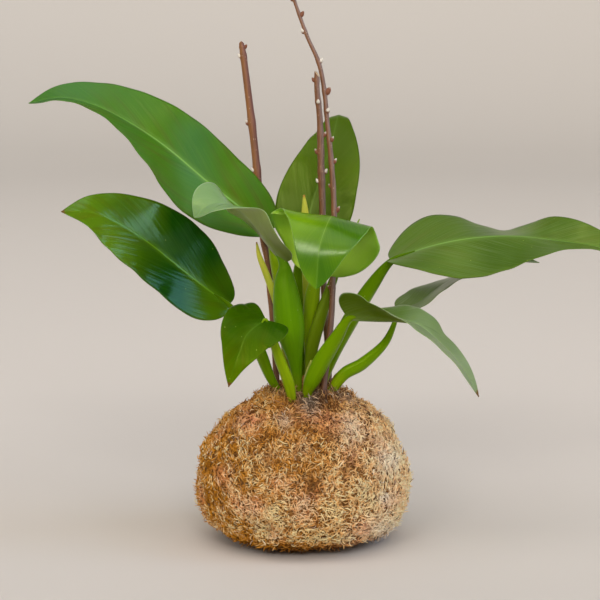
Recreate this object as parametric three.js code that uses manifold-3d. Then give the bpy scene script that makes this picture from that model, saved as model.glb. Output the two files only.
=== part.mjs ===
// Kokedama moss ball plant: a soil ball wrapped in dry moss, a leafy plant with swollen leaf
// stalks rooted in it by its crown, and three budded twigs pushed in beside the crown.
// Millimetres, +Z up. The origin is the middle of the flat spot under the ball, and the front
// of the plant looks along -Y.
import * as THREE from "three";
import { mergeVertices } from "three/addons/utils/BufferGeometryUtils.js";
import Module from "manifold-3d";

const wasm = await Module();
wasm.setup();

// Corners closer than this are one corner
const SAME_POINT = 0.002;

// The gap kept between each layer and the next, and around each stem in its hole
const LAYER_GAP = 0.4;
const HOLE_GAP = 0.55;

// The moss ball: its profile is radius and height, from the flat spot up to the crown mound
const BALL = {
  profile: [[30, 0], [46, 3], [60, 8], [68, 17], [72.5, 28], [74, 40], [72, 55], [65, 73],
    [51, 91], [33, 102], [15, 109], [0, 112]],
  rows: 16,
  turns: 32,
  lump: 1.6,
  lumpsFrom: 0.12,
  lumpsTo: 0.8,
  mossDepth: 12,
  soilRows: 8,
  soilTurns: 16,
};
const CROWN = { centre: [0, -4, 87], reach: [16, 16, 9], turns: 12, rows: 6 };

// A blade's thickness, the extra height and the width of the rib under its base, and the
// half-width that its blunt ends keep, with the share of the lobes' depth kept there too
const BLADE = {
  thick: 0.8,
  ribHeight: 1.5,
  ribWidth: 3,
  blunt: 0.5,
  bluntShare: 0.05,
  lobeCurve: 1.6,
  rows: 16,
  columns: 3,
};
const STALK = { steps: 12, sides: 8, flat: 0.65, keel: 0.25, ribEnd: 0.06, ribEndGirth: 1 };
const SPEAR = { steps: 10, sides: 6, flat: 0.55, keel: 0 };
const TWIG = { steps: 16, sides: 6, flat: 1, keel: 0, cutBlock: 20 };
const BUD = { turns: 5, rows: 4, narrow: 0.75, standOut: 0.1 };

// Each leaf: `stalk` runs from the crown to the blade and is `girth` thick in radius at each of
// its points, with its flat side towards `back`. `rib` is the blade's midrib from base to tip,
// and `up` the way its upper face looks along it. `half` is the half-width in millimetres of an
// even blade, widest at `peak` and closing as `tip` says, and `lobe` draws its base back past
// the stalk. `left` and `right` are the shares of that half-width at even steps along the rib,
// looking from base to tip, and the folds are the angles by which each half is raised.
const LEAVES = {
  leaf_upper_left: {
    stalk: [[-7, 4, 90], [-7, 5, 108], [-9, 5, 139], [-15, 6, 174], [-20, 8, 197], [-25, 10, 218]],
    girth: [2.2, 2.6, 4.6, 5.2, 4.2, 2.4],
    back: [0.2, 0.7, 0.6],
    rib: [[-25, 10, 218], [-44, 1, 236], [-68, -6, 256], [-92, -10, 277], [-116, -12, 294],
      [-141, -12, 307], [-166, -8, 313], [-190, -2, 309]],
    up: [[0.1, -0.7, 0.6], [0, -0.8, 0.6], [0, -0.8, 0.6], [-0.1, -0.8, 0.6], [-0.25, -0.7, 0.65],
      [-0.3, -0.6, 0.75], [-0.35, -0.6, 0.75]],
    half: 31, peak: 0.36, tip: 0.95, lobe: 0.1,
    left: [0.65, 0.85, 1.05, 1.1, 0.85, 0.95, 1],
    right: [1.05, 0.95, 0.95, 0.95, 0.95, 1, 1.1],
    foldLeft: [58, 4, 36, 44, 16],
    foldRight: [12, 4, 8, 6, 24],
  },
  leaf_mid_left: {
    stalk: [[-13, -7, 90], [-17, -8, 106], [-24, -12, 120], [-32, -18, 141], [-42, -22, 159],
      [-52, -24, 172]],
    girth: [2.2, 2.8, 4.2, 5.2, 3.8, 2.2],
    back: [0.4, 0.5, 0.8],
    rib: [[-52, -24, 172], [-69, -28, 185], [-88, -32, 201], [-107, -37, 217], [-126, -42, 230],
      [-144, -48, 238], [-163, -54, 239]],
    up: [[-0.1, -0.7, 0.7], [-0.1, -0.7, 0.7], [-0.1, -0.6, 0.8]],
    half: 29, peak: 0.36, tip: 0.9, lobe: 0.1,
    left: [0.8, 1, 0.95, 1.05, 1.1, 1.15, 1.2],
    right: [0.85, 0.95, 1.1, 1.1, 1.05, 1.05, 1],
    foldLeft: [2, 4, 10, -4, 0],
    foldRight: [-8, 4, 12, 14, 10],
  },
  leaf_front_left: {
    stalk: [[-3, -8, 90], [-4, -9, 108], [-6, -12, 130], [-10, -15, 156], [-13, -14, 183],
      [-14, -12, 198]],
    girth: [2.2, 2.8, 5, 10.5, 8.2, 3.6],
    back: [-0.1, 1, 0.15],
    rib: [[-14, -12, 200], [-25, -24, 216], [-34, -34, 229], [-43, -44, 239], [-53, -50, 244],
      [-64, -53, 243], [-74, -53, 235]],
    up: [[0.35, 0.75, 0.55], [0.3, 0.7, 0.6], [0.15, 0.5, 0.8], [0, 0, 1], [-0.1, -0.45, 0.8],
      [-0.1, -0.6, 0.6], [-0.1, -0.65, 0.5]],
    half: 20, peak: 0.4, tip: 0.8, lobe: 0.08,
    left: [0.85, 0.85, 0.8, 0.9, 0.95, 0.9, 0.95],
    right: [1, 0.95, 0.9, 0.95, 1.15, 1.5, 1.25],
    foldLeft: [14, -20, 8, 22, 14],
    foldRight: [34, 36, 8, 8, 48],
  },
  leaf_front_centre: {
    stalk: [[5, 1, 90], [5, 1, 112], [5, 2, 133], [5, 1, 154], [6, -4, 176], [10, -12, 195]],
    girth: [2.2, 2.8, 4.6, 5.6, 5.2, 2.4],
    back: [0, 1, 0.15],
    rib: [[10, -12, 195], [14, -16, 210], [17, -22, 224], [19, -33, 234], [15, -50, 229],
      [10, -60, 214], [8, -64, 188]],
    up: [[0, 0.95, 0.2], [0, 0.9, 0.3], [0.05, 0.7, 0.7], [0.1, 0, 1], [0.1, -0.8, 0.6],
      [0, -1, 0.2], [0, -1, 0.1]],
    half: 35, peak: 0.42, tip: 0.75, lobe: 0.2,
    left: [1, 1.05, 1.1, 0.85, 0.9, 1, 1],
    right: [0.9, 0.9, 1.1, 1.2, 1, 0.85, 1.05],
    foldLeft: [12, -12, -10, 12, 4],
    foldRight: [10, 6, -2, 0, 6],
  },
  leaf_small_left: {
    stalk: [[-6, -16, 90], [-8, -22, 103], [-11, -28, 119], [-17, -34, 136], [-22, -40, 152],
      [-26, -44, 164]],
    girth: [2.2, 3.2, 4.8, 4.4, 3.2, 1.8],
    back: [0.5, 0.5, 0.8],
    rib: [[-26, -44, 164], [-32, -49, 161], [-39, -54, 155], [-43, -58, 146], [-47, -61, 135],
      [-51, -62, 121]],
    up: [[0, -0.8, 0.6], [0, -0.9, 0.4], [0, -1, 0.2], [0, -1, 0.1]],
    half: 24, peak: 0.22, tip: 0.95, lobe: 0.22,
    left: [0.8, 0.85, 0.85, 0.9, 0.85, 0.75, 0.75],
    right: [1, 0.9, 0.95, 0.9, 0.85, 0.85, 0.85],
    foldLeft: [10, 12, 12, 14, 12],
    foldRight: [-14, -8, 16, 12, 12],
  },
  leaf_back: {
    stalk: [[-2, 9, 90], [-2, 12, 109], [-2, 15, 134], [-2, 18, 157], [-4, 21, 183], [0, 23, 211]],
    girth: [2.2, 2.6, 4.4, 5.6, 4.6, 2.4],
    back: [-0.2, -0.9, 0.2],
    rib: [[0, 23, 211], [5, 29, 233], [10, 34, 250], [16, 41, 267], [21, 51, 283], [25, 66, 297],
      [28, 86, 291]],
    up: [[0, -1, 0.2], [0, -1, 0.25], [0, -0.95, 0.35], [0, -0.8, 0.6], [0, -0.4, 1], [0, 0.2, 1]],
    half: 29, peak: 0.33, tip: 0.95, lobe: 0.1,
    left: [1, 0.95, 0.85, 0.75, 0.7, 0.6, 0.55],
    right: [1.15, 1.1, 1, 0.95, 0.85, 0.65, 0.55],
    foldLeft: [6, 6, 6, -14, -20],
    foldRight: [6, 6, 6, -12, -20],
  },
  leaf_upper_right: {
    stalk: [[11, 3, 90], [14, 4, 112], [21, 4, 134], [32, 3, 156], [47, 1, 181], [61, -1, 199]],
    girth: [2.2, 3, 5.6, 6.6, 5.6, 2.8],
    back: [-0.4, 0.8, 0.4],
    rib: [[61, -1, 200], [88, -5, 210], [115, -9, 216], [144, -12, 218], [174, -14, 215],
      [205, -14, 210], [234, -12, 200]],
    up: [[-0.2, -0.7, 0.7], [-0.1, -0.65, 0.75], [0, -0.6, 0.8], [0, -0.6, 0.8], [0, -0.55, 0.8]],
    half: 30, peak: 0.36, tip: 0.95, lobe: 0.1,
    left: [1, 1.2, 1, 0.95, 0.9, 0.9, 1],
    right: [0.85, 1, 1.15, 1.1, 0.95, 0.95, 1],
    foldLeft: [-22, -8, -34, 32, 10],
    foldRight: [52, 2, -4, 32, 20],
  },
  leaf_mid_right: {
    stalk: [[2, -15, 90], [2, -18, 107], [6, -22, 119], [13, -26, 134], [22, -29, 149],
      [31, -32, 163]],
    girth: [2.2, 3.4, 6, 6.6, 5.2, 3],
    back: [-0.3, 0.8, 0.4],
    rib: [[31, -32, 163], [50, -44, 164], [64, -54, 165], [77, -60, 163], [90, -64, 153],
      [104, -64, 138], [118, -60, 114]],
    up: [[0, 0.3, 1], [0, 0.2, 1], [0.1, 0, 1], [0.2, -0.2, 1], [0.4, -0.3, 0.8], [0.6, -0.4, 0.6],
      [0.7, -0.4, 0.4]],
    half: 22, peak: 0.35, tip: 0.85, lobe: 0.2,
    left: [1, 1, 1.05, 0.9, 0.9, 1.05, 1.2],
    right: [1.15, 1.2, 1.05, 0.95, 0.95, 1, 1],
    foldLeft: [20, 28, 14, 0, 22],
    foldRight: [68, 36, 14, 14, 12],
  },
  leaf_lower_right: {
    stalk: [[13, -6, 90], [19, -7, 107], [28, -6, 120], [41, -3, 127], [56, 1, 140], [63, 4, 153],
      [66, 7, 164]],
    girth: [2.2, 3.6, 5.2, 5.2, 3.6, 2.2, 1.6],
    back: [-0.3, 0.7, 0.5],
    rib: [[66, 7, 164], [80, 11, 168], [93, 15, 177], [108, 18, 186], [128, 21, 193],
      [147, 23, 198], [167, 24, 195]],
    up: [[-0.3, -0.1, 1], [-0.2, -0.1, 1], [0, -0.1, 1]],
    half: 20, peak: 0.38, tip: 0.95, lobe: 0.08,
    left: [1, 1, 0.95, 0.95, 1, 1, 1],
    right: [1, 1, 1, 1, 1, 1, 1],
    foldLeft: [26, 16, -10, 24, 24],
    foldRight: [-10, 6, 6, -4, -6],
  },
};

// Young leaves still rolled up, each a pointed spear
const SPEARS = {
  young_leaf_left: {
    stalk: [[-10, -2, 90], [-11, -1, 109], [-15, -1, 151], [-20, -2, 173], [-26, -3, 190],
      [-31, -4, 203], [-33, -5, 213]],
    girth: [2, 2.2, 2.8, 3, 2.8, 2, 0.5],
    back: [0.3, 1, 0.3],
  },
  young_leaf_centre: {
    stalk: [[5, 8, 90], [4, 10, 110], [4, 11, 142], [3, 10, 178], [2, 8, 210], [1, 5, 231],
      [0, 4, 245]],
    girth: [2, 2.2, 3.4, 4, 3.6, 2.9, 0.7],
    back: [0, 1, 0.1],
  },
  young_leaf_right: {
    stalk: [[5, -6, 90], [4, -8, 110], [5, -9, 136], [11, -7, 159], [20, 1, 184], [30, 8, 208],
      [39, 14, 227]],
    girth: [2, 2.6, 4.6, 4.8, 3.4, 2.2, 0.5],
    back: [-0.3, 1, 0.1],
  },
};

// Twigs: `buds` are the share of the way up, the side in degrees (0 right, 90 back, 180 left) and
// the bud's length, and `cut` is a point and a direction of the slanted cut across the top
const TWIGS = {
  twig_left: {
    stalk: [[-20, 5, 72], [-19, 5, 103], [-22, 10, 156], [-24, 13, 177], [-25, 16, 195],
      [-29, 18, 215], [-32, 19, 250], [-36, 20, 289], [-42, 22, 338], [-44, 23, 351]],
    girth: [2, 2.2, 2.2, 2.3, 2.4, 2.5, 2.6, 2.6, 2.3, 1.6],
    buds: [[0.7, 200, 2.6], [0.79, 180, 3], [0.9, 185, 2.6], [0.95, 0, 2.6]],
  },
  twig_long: {
    stalk: [[14, -20, 72], [13, -17, 102], [19, -11, 161], [20, -5, 192], [21, 2, 232],
      [19, 6, 268], [16, 8, 297], [14, 10, 318], [10, 12, 337], [2, 15, 355], [-7, 18, 380],
      [-12, 20, 395]],
    girth: [2, 2.2, 2.1, 1.9, 1.8, 1.8, 1.6, 1.6, 1.5, 1.3, 1.1, 0.8],
    buds: [[0.24, 180, 2.2], [0.27, 0, 2.4], [0.37, 0, 3.4], [0.41, 180, 2.2], [0.455, 0, 3],
      [0.5, 330, 3], [0.57, 300, 3], [0.63, 0, 4.4], [0.73, 0, 3], [0.83, 180, 3], [0.87, 0, 3.4],
      [0.91, 180, 2.6]],
  },
  twig_middle: {
    stalk: [[19, 14, 72], [18, 14, 106], [16, 14, 152], [14, 13, 179], [13, 11, 233], [12, 9, 262],
      [11, 6, 297], [9, 4, 318], [9, 3, 336]],
    girth: [2, 2.2, 2.2, 2.2, 2.3, 2.4, 2.1, 1.9, 1.7],
    buds: [[0.24, 330, 2.2], [0.59, 190, 2.6], [0.62, 0, 3], [0.67, 180, 3], [0.71, 0, 3],
      [0.82, 270, 2.6], [0.92, 180, 2.6]],
    cut: { point: [9, 3, 329], lean: [0.75, -0.3, 0.6] },
  },
};

const FINISH = {
  moss: { color: 0xb08a55, roughness: 0.95 },
  soil: { color: 0x3b2a1d, roughness: 1 },
  crown: { color: 0x8a7a4c, roughness: 0.8 },
  leaf: { color: 0x3f6b22, roughness: 0.35 },
  youngLeaf: { color: 0xa8b45a, roughness: 0.45 },
  twig: { color: 0x8a5a44, roughness: 0.6 },
};

const { degToRad, clamp, smoothstep } = THREE.MathUtils;

const toVector = (list) => new THREE.Vector3(...list);

/** The turn that brings +Z onto a direction. */
const turnTo = (ahead) => new THREE.Quaternion().setFromUnitVectors(new THREE.Vector3(0, 0, 1), ahead);

/** The Catmull-Rom curve through a list of points, evenly stepped from point to point. */
function through(points) {
  return new THREE.CatmullRomCurve3(points.map(toVector), false, "catmullrom", 0.5);
}

/** A value at share t of the way along a list of values, by the same kind of curve. */
function along(values, t) {
  const line = through(values.map((value) => [value, 0, 0]));
  return line.getPoint(clamp(t, 0, 1)).x;
}

/** The point, the direction, the upper side and the right-hand side at t along a curve. */
function frameAt(line, sides, t) {
  const inside = clamp(t, 0, 1);
  const ahead = line.getTangent(inside);
  const point = line.getPoint(inside).addScaledVector(ahead, (t - inside) * line.getLength());
  const up = sides.getPoint(inside);
  up.addScaledVector(ahead, -up.dot(ahead)).normalize();
  return { point, up, right: new THREE.Vector3().crossVectors(ahead, up) };
}

/** A closed geometry from corner points and triangles of their numbers. */
function meshFrom(points, triangles) {
  const geometry = new THREE.BufferGeometry();
  const corners = points.flatMap((point) => point.toArray());
  geometry.setAttribute("position", new THREE.Float32BufferAttribute(corners, 3));
  geometry.setIndex(triangles);
  return geometry;
}

/** A manifold solid from a closed geometry, with corners that meet joined. */
function solidOf(geometry) {
  const bare = geometry.clone();
  bare.deleteAttribute("normal");
  bare.deleteAttribute("uv");
  const joined = mergeVertices(bare, SAME_POINT);
  const mesh = new wasm.Mesh({
    numProp: 3,
    vertProperties: new Float32Array(joined.attributes.position.array),
    triVerts: new Uint32Array(joined.index.array),
  });
  return new wasm.Manifold(mesh);
}

/** The geometry of a manifold solid, without the hair-thin triangles that cuts leave. */
function geometryOf(solid) {
  const mesh = solid.getMesh();
  const geometry = new THREE.BufferGeometry();
  geometry.setAttribute("position", new THREE.BufferAttribute(new Float32Array(mesh.vertProperties), 3));
  geometry.setIndex([...mesh.triVerts]);
  const joined = mergeVertices(geometry, SAME_POINT);
  const corners = joined.index.array;
  const kept = [];
  for (let k = 0; k < corners.length; k += 3) {
    const [a, b, c] = corners.slice(k, k + 3);
    if (a !== b && b !== c && c !== a) {
      kept.push(a, b, c);
    }
  }
  joined.setIndex(kept);
  return joined;
}

/** A tube along a stalk with a tapering, flattened and keeled section, grown by `extra`. */
function stemSolid(stem, form, extra = 0) {
  const line = through(stem.stalk);
  const sides = through([stem.back ?? [0, 1, 0], stem.back ?? [0, 1, 0]]);
  const points = [];
  const spare = extra / line.getLength();
  for (let i = 0; i <= form.steps; i += 1) {
    const t = (1 + 2 * spare) * (i / form.steps) - spare;
    const { point, up, right } = frameAt(line, sides, t);
    const girth = along(stem.girth, t);
    for (let j = 0; j < form.sides; j += 1) {
      const angle = (2 * Math.PI * j) / form.sides;
      const keel = 1 + form.keel * Math.max(-Math.sin(angle), 0) ** 3;
      const across = (girth + extra) * Math.cos(angle);
      const deep = (girth * form.flat * keel + extra) * Math.sin(angle);
      points.push(point.clone().addScaledVector(right, across).addScaledVector(up, deep));
    }
  }
  const root = points.push(frameAt(line, sides, -spare).point) - 1;
  const top = points.push(frameAt(line, sides, 1 + spare).point) - 1;
  const triangles = [];
  const id = (i, j) => i * form.sides + (j % form.sides);
  for (let j = 0; j < form.sides; j += 1) {
    triangles.push(root, id(0, j), id(0, j + 1));
    triangles.push(top, id(form.steps, j + 1), id(form.steps, j));
    for (let i = 0; i < form.steps; i += 1) {
      triangles.push(id(i, j), id(i + 1, j), id(i + 1, j + 1));
      triangles.push(id(i, j), id(i + 1, j + 1), id(i, j + 1));
    }
  }
  return solidOf(meshFrom(points, triangles));
}

/** The share of a blade's half-width at u: a round base, widest at peak, a pointed tip. */
function outline(u, peak, tip) {
  const round = (tip * peak) / (1 - peak);
  return (u / peak) ** round * ((1 - u) / (1 - peak)) ** tip;
}

/** A point of a blade's middle surface at u along the rib and v across it, -1 left to 1 right. */
function bladePoint(leaf, line, sides, u, v) {
  const reach = Math.abs(v);
  const shape = outline(u, leaf.peak, leaf.tip);
  const back = leaf.lobe * reach ** BLADE.lobeCurve * Math.max(shape, BLADE.bluntShare) * (1 - u) ** 3;
  const { point, up, right } = frameAt(line, sides, u - back);
  const share = along(v < 0 ? leaf.left : leaf.right, u);
  const fold = degToRad(along(v < 0 ? leaf.foldLeft : leaf.foldRight, u));
  const out = reach * Math.max(leaf.half * shape * share, BLADE.blunt);
  point.addScaledVector(right, Math.sign(v) * out * Math.cos(fold));
  return point.addScaledVector(up, out * Math.sin(fold));
}

/** A blade: a grid of its middle surface, given its thickness and the rib under it. */
function bladeSolid(leaf) {
  const line = through(leaf.rib);
  const sides = through(leaf.up);
  const wide = 2 * BLADE.columns + 1;
  const middle = [];
  const shares = [];
  for (let i = 0; i <= BLADE.rows; i += 1) {
    const u = (1 - Math.cos((Math.PI * i) / BLADE.rows)) / 2;
    shares.push(u);
    for (let j = 0; j < wide; j += 1) {
      middle.push(bladePoint(leaf, line, sides, u, j / BLADE.columns - 1));
    }
  }
  const at = (i, j) => middle[i * wide + j];
  const upper = [];
  const lower = [];
  for (let i = 0; i <= BLADE.rows; i += 1) {
    for (let j = 0; j < wide; j += 1) {
      const lengthways = at(Math.min(i + 1, BLADE.rows), j).clone().sub(at(Math.max(i - 1, 0), j));
      const crossways = at(i, Math.min(j + 1, wide - 1)).clone().sub(at(i, Math.max(j - 1, 0)));
      const normal = crossways.cross(lengthways).normalize();
      const ribAway = at(i, j).distanceTo(at(i, BLADE.columns)) / BLADE.ribWidth;
      const rib = BLADE.ribHeight * (1 - shares[i]) * Math.exp(-(ribAway ** 2));
      upper.push(at(i, j).clone().addScaledVector(normal, BLADE.thick / 2));
      lower.push(at(i, j).clone().addScaledVector(normal, -BLADE.thick / 2 - rib));
    }
  }
  const triangles = [];
  const quad = (a, b, c, d) => triangles.push(a, b, c, a, c, d);
  const top = (i, j) => i * wide + j;
  const under = (i, j) => upper.length + i * wide + j;
  for (let i = 0; i < BLADE.rows; i += 1) {
    for (let j = 0; j < wide - 1; j += 1) {
      quad(top(i, j), top(i, j + 1), top(i + 1, j + 1), top(i + 1, j));
      triangles.push(under(i, j), under(i + 1, j + 1), under(i, j + 1));
      triangles.push(under(i, j), under(i + 1, j), under(i + 1, j + 1));
    }
    quad(top(i, 0), top(i + 1, 0), under(i + 1, 0), under(i, 0));
    quad(top(i + 1, wide - 1), top(i, wide - 1), under(i, wide - 1), under(i + 1, wide - 1));
  }
  for (let j = 0; j < wide - 1; j += 1) {
    quad(top(0, j + 1), top(0, j), under(0, j), under(0, j + 1));
    quad(top(BLADE.rows, j), top(BLADE.rows, j + 1), under(BLADE.rows, j + 1), under(BLADE.rows, j));
  }
  return solidOf(meshFrom([...upper, ...lower], triangles));
}

/** A leaf stalk carried on into the base of its blade's rib. */
function stalkOf(leaf) {
  const intoBlade = through(leaf.rib).getPoint(STALK.ribEnd).toArray();
  return { ...leaf, stalk: [...leaf.stalk, intoBlade], girth: [...leaf.girth, STALK.ribEndGirth] };
}

/** A bud: a small egg lying against the twig and pointing up and out. */
function budSolid(twig, [t, side, size]) {
  const point = through(twig.stalk).getPoint(t);
  const turn = degToRad(side);
  const out = new THREE.Vector3(Math.cos(turn), Math.sin(turn), 0);
  const egg = new THREE.SphereGeometry(size / 2, BUD.turns, BUD.rows);
  egg.rotateX(Math.PI / 2);
  egg.scale(BUD.narrow, BUD.narrow, 1);
  egg.applyQuaternion(turnTo(out.clone().setZ(1).normalize()));
  egg.translate(...point.addScaledVector(out, along(twig.girth, t) + size * BUD.standOut).toArray());
  return solidOf(egg);
}

/** A twig with its buds fused on, and its top cut on a slant where it has one. */
function twigSolid(twig) {
  let solid = stemSolid(twig, TWIG);
  for (const bud of twig.buds) {
    solid = solid.add(budSolid(twig, bud));
  }
  if (twig.cut) {
    const block = new THREE.BoxGeometry(TWIG.cutBlock, TWIG.cutBlock, TWIG.cutBlock);
    block.translate(0, 0, TWIG.cutBlock / 2);
    block.applyQuaternion(turnTo(toVector(twig.cut.lean).normalize()));
    block.translate(...twig.cut.point);
    solid = solid.subtract(solidOf(block));
  }
  return solid;
}

/** How far the moss stands out in lumps at an angle around the ball and a height on it. */
function lumps(angle, height) {
  const coarse = Math.sin(3 * angle + 0.05 * height + 1) * Math.cos(0.09 * height + 0.5);
  const middle = 0.6 * Math.sin(7 * angle - 0.11 * height) * Math.sin(0.13 * height + 2 * angle);
  const fine = 0.45 * Math.sin(13 * angle + 2) * Math.sin(0.31 * height + angle);
  return coarse + middle + fine;
}

/** A closed body turned about Z from a profile, drawn in by `inset` and with lumps `rough` high. */
function ballSolid(inset, rough, rows, turns) {
  const profile = new THREE.CatmullRomCurve3(BALL.profile.map(([r, z]) => new THREE.Vector3(r, 0, z)));
  const heightEnd = BALL.profile.at(-1)[1];
  const points = [];
  for (let i = 0; i < rows; i += 1) {
    const t = i / rows;
    const onProfile = profile.getPointAt(t);
    const slope = profile.getTangentAt(t);
    const fade = smoothstep(t, 0, BALL.lumpsFrom) * (1 - smoothstep(t, BALL.lumpsTo, 1));
    for (let j = 0; j < turns; j += 1) {
      const angle = (2 * Math.PI * j) / turns;
      const out = rough * fade * lumps(angle, onProfile.z) - inset;
      const radius = onProfile.x + slope.z * out;
      const height = Math.max(onProfile.z - slope.x * out, inset);
      points.push(new THREE.Vector3(radius * Math.cos(angle), radius * Math.sin(angle), height));
    }
  }
  const foot = points.push(new THREE.Vector3(0, 0, inset)) - 1;
  const top = points.push(new THREE.Vector3(0, 0, heightEnd - inset)) - 1;
  const triangles = [];
  const id = (i, j) => i * turns + (j % turns);
  for (let j = 0; j < turns; j += 1) {
    triangles.push(foot, id(0, j + 1), id(0, j));
    triangles.push(top, id(rows - 1, j), id(rows - 1, j + 1));
    for (let i = 0; i < rows - 1; i += 1) {
      triangles.push(id(i, j), id(i, j + 1), id(i + 1, j + 1));
      triangles.push(id(i, j), id(i + 1, j + 1), id(i + 1, j));
    }
  }
  return solidOf(meshFrom(points, triangles));
}

/** The crown that the leaf stalks grow from, grown by `extra`. */
function crownSolid(extra = 0) {
  const egg = new THREE.SphereGeometry(1, CROWN.turns, CROWN.rows);
  egg.rotateX(Math.PI / 2);
  egg.scale(...CROWN.reach.map((reach) => reach + extra));
  egg.translate(...CROWN.centre);
  return solidOf(egg);
}

/** A solid with plain holes for a list of other solids. */
function cutFor(solid, others) {
  return others.reduce((left, other) => left.subtract(other), solid);
}

const plant = new THREE.Group();

/** Adds a solid to the plant as a named sub-part with its own finish. */
function addPart(name, solid, { color, roughness }) {
  const material = new THREE.MeshStandardMaterial({ color, roughness, metalness: 0 });
  const mesh = new THREE.Mesh(geometryOf(solid), material);
  mesh.name = name;
  plant.add(mesh);
}

const grown = [
  ...Object.values(LEAVES).map((leaf) => stemSolid(leaf, STALK, HOLE_GAP)),
  ...Object.values(SPEARS).map((spear) => stemSolid(spear, SPEAR, HOLE_GAP)),
];
const pushedIn = Object.values(TWIGS).map((twig) => stemSolid(twig, TWIG, HOLE_GAP));

const mossOutside = ballSolid(0, BALL.lump, BALL.rows, BALL.turns);
const mossInside = ballSolid(BALL.mossDepth, 0, BALL.soilRows, BALL.soilTurns);
const soil = ballSolid(BALL.mossDepth + LAYER_GAP, 0, BALL.soilRows, BALL.soilTurns);
addPart("moss_wrap", cutFor(mossOutside, [mossInside, ...grown, ...pushedIn]), FINISH.moss);
addPart("soil_ball", cutFor(soil, [crownSolid(LAYER_GAP), ...grown, ...pushedIn]), FINISH.soil);
addPart("plant_crown", cutFor(crownSolid(), grown), FINISH.crown);

for (const [name, leaf] of Object.entries(LEAVES)) {
  addPart(name, bladeSolid(leaf).add(stemSolid(stalkOf(leaf), STALK)), FINISH.leaf);
}
for (const [name, spear] of Object.entries(SPEARS)) {
  addPart(name, stemSolid(spear, SPEAR), FINISH.youngLeaf);
}
for (const [name, twig] of Object.entries(TWIGS)) {
  addPart(name, twigSolid(twig), FINISH.twig);
}

export default plant;
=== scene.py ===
# Kokedama moss ball plant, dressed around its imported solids: blades with ribs and veins, swollen
# stalks, rolled young leaves, budded twigs, and a ball of matted dry moss strands
import logging
from dataclasses import dataclass
from dataclasses import field
from enum import Enum

import bpy
import numpy as np
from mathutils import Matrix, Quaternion
from mathutils import Vector


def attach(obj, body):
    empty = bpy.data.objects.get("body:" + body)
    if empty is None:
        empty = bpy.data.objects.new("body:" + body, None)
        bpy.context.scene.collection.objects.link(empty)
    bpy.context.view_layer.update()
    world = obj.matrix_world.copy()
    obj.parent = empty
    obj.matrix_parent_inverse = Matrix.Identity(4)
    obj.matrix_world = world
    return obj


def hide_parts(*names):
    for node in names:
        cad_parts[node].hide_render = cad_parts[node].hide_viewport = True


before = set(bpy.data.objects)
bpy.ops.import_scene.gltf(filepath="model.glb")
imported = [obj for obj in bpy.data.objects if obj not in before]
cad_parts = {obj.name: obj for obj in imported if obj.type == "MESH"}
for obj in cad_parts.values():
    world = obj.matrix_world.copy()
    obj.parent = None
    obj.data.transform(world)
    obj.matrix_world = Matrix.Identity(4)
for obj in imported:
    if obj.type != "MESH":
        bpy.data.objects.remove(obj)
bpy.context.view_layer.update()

logging.basicConfig(level=logging.INFO, format="%(message)s")
LOG = logging.getLogger("moss ball plant")

Array = np.ndarray
Row = tuple[float, ...]
Rows = tuple[Row, ...]

MM = 0.001
PICTURE_PIXELS = 600
LENGTH_STEPS = 200
NEARBY = 1e-4


class Slot(Enum):
    """The material slots of the part's record."""

    MOSS = "dry_moss"
    SOIL = "soil"
    CROWN = "crown_tissue"
    LEAF = "leaf"
    YOUNG_LEAF = "young_leaf"
    TWIG = "twig_bark"


# Numbers and curves


def smooth(low: float, high: float, value: Array) -> Array:
    """The smooth step from 0 at low to 1 at high: 3w^2 - 2w^3 of the share w between them."""
    w = np.clip((value - low) / (high - low), 0, 1)
    return w * w * (3 - 2 * w)


def unit(vectors: Array) -> Array:
    """Vectors brought to length 1 along the last axis."""
    return vectors / np.maximum(np.linalg.norm(vectors, axis=-1, keepdims=True), 1e-12)


def along(knots: Rows | Row, share: Array) -> Array:
    """Values at shares of the Catmull-Rom curve through evenly stepped knots.

    Each piece is the cubic that leaves and reaches its two knots with half the vector between
    the knots on either side; past the ends the neighbour is mirrored.

    Args:
        knots: points or plain numbers, from the start to the end.
        share: where on the curve, 0 to 1, of any shape.

    Returns:
        The points, or the numbers, with the shape of share in front.
    """
    given = np.asarray(knots, float)
    wide = given.reshape(len(given), -1)
    padded = np.vstack([2 * wide[0] - wide[1], wide, 2 * wide[-1] - wide[-2]])
    place = np.clip(share, 0, 1) * (len(wide) - 1)
    first = np.minimum(place.astype(int), len(wide) - 2)
    w = (place - first)[..., None]
    before, start, end, after = (padded[first + step] for step in range(4))
    leave = (end - before) / 2
    reach = (after - start) / 2
    found = (
        start
        + leave * w
        + (3 * (end - start) - 2 * leave - reach) * w**2
        + (2 * (start - end) + leave + reach) * w**3
    )
    return found[..., 0] if given.ndim == 1 else found


def heading(knots: Rows, share: Array) -> Array:
    """The unit direction of the curve through knots, from two points close to each share."""
    after = along(knots, np.clip(share + NEARBY, 0, 1))
    return unit(after - along(knots, np.clip(share - NEARBY, 0, 1)))


def length_of(knots: Rows) -> float:
    """The length of the curve through knots, as the sum of 200 straight steps."""
    points = along(knots, np.linspace(0, 1, LENGTH_STEPS + 1))
    return float(np.linalg.norm(np.diff(points, axis=0), axis=1).sum())


def frames(line: Rows, sides: Rows, share: Array) -> tuple[Array, Array, Array, Array]:
    """Point, direction, upper side and right-hand side at shares of a curve.

    The upper side is the curve through sides made square to the direction, the right-hand side
    is direction x upper side, and past an end the curve goes on straight.

    Args:
        line: knots of the curve.
        sides: the way the upper side looks, at even steps along it.
        share: where on the curve; below 0 or above 1 is past an end.

    Returns:
        The four arrays of vectors.
    """
    inside = np.clip(share, 0, 1)
    ahead = heading(line, inside)
    point = along(line, inside) + ahead * ((share - inside) * length_of(line))[..., None]
    up = along(sides, inside)
    up = unit(up - ahead * np.sum(up * ahead, axis=-1, keepdims=True))
    return point, ahead, up, np.cross(ahead, up)


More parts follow.
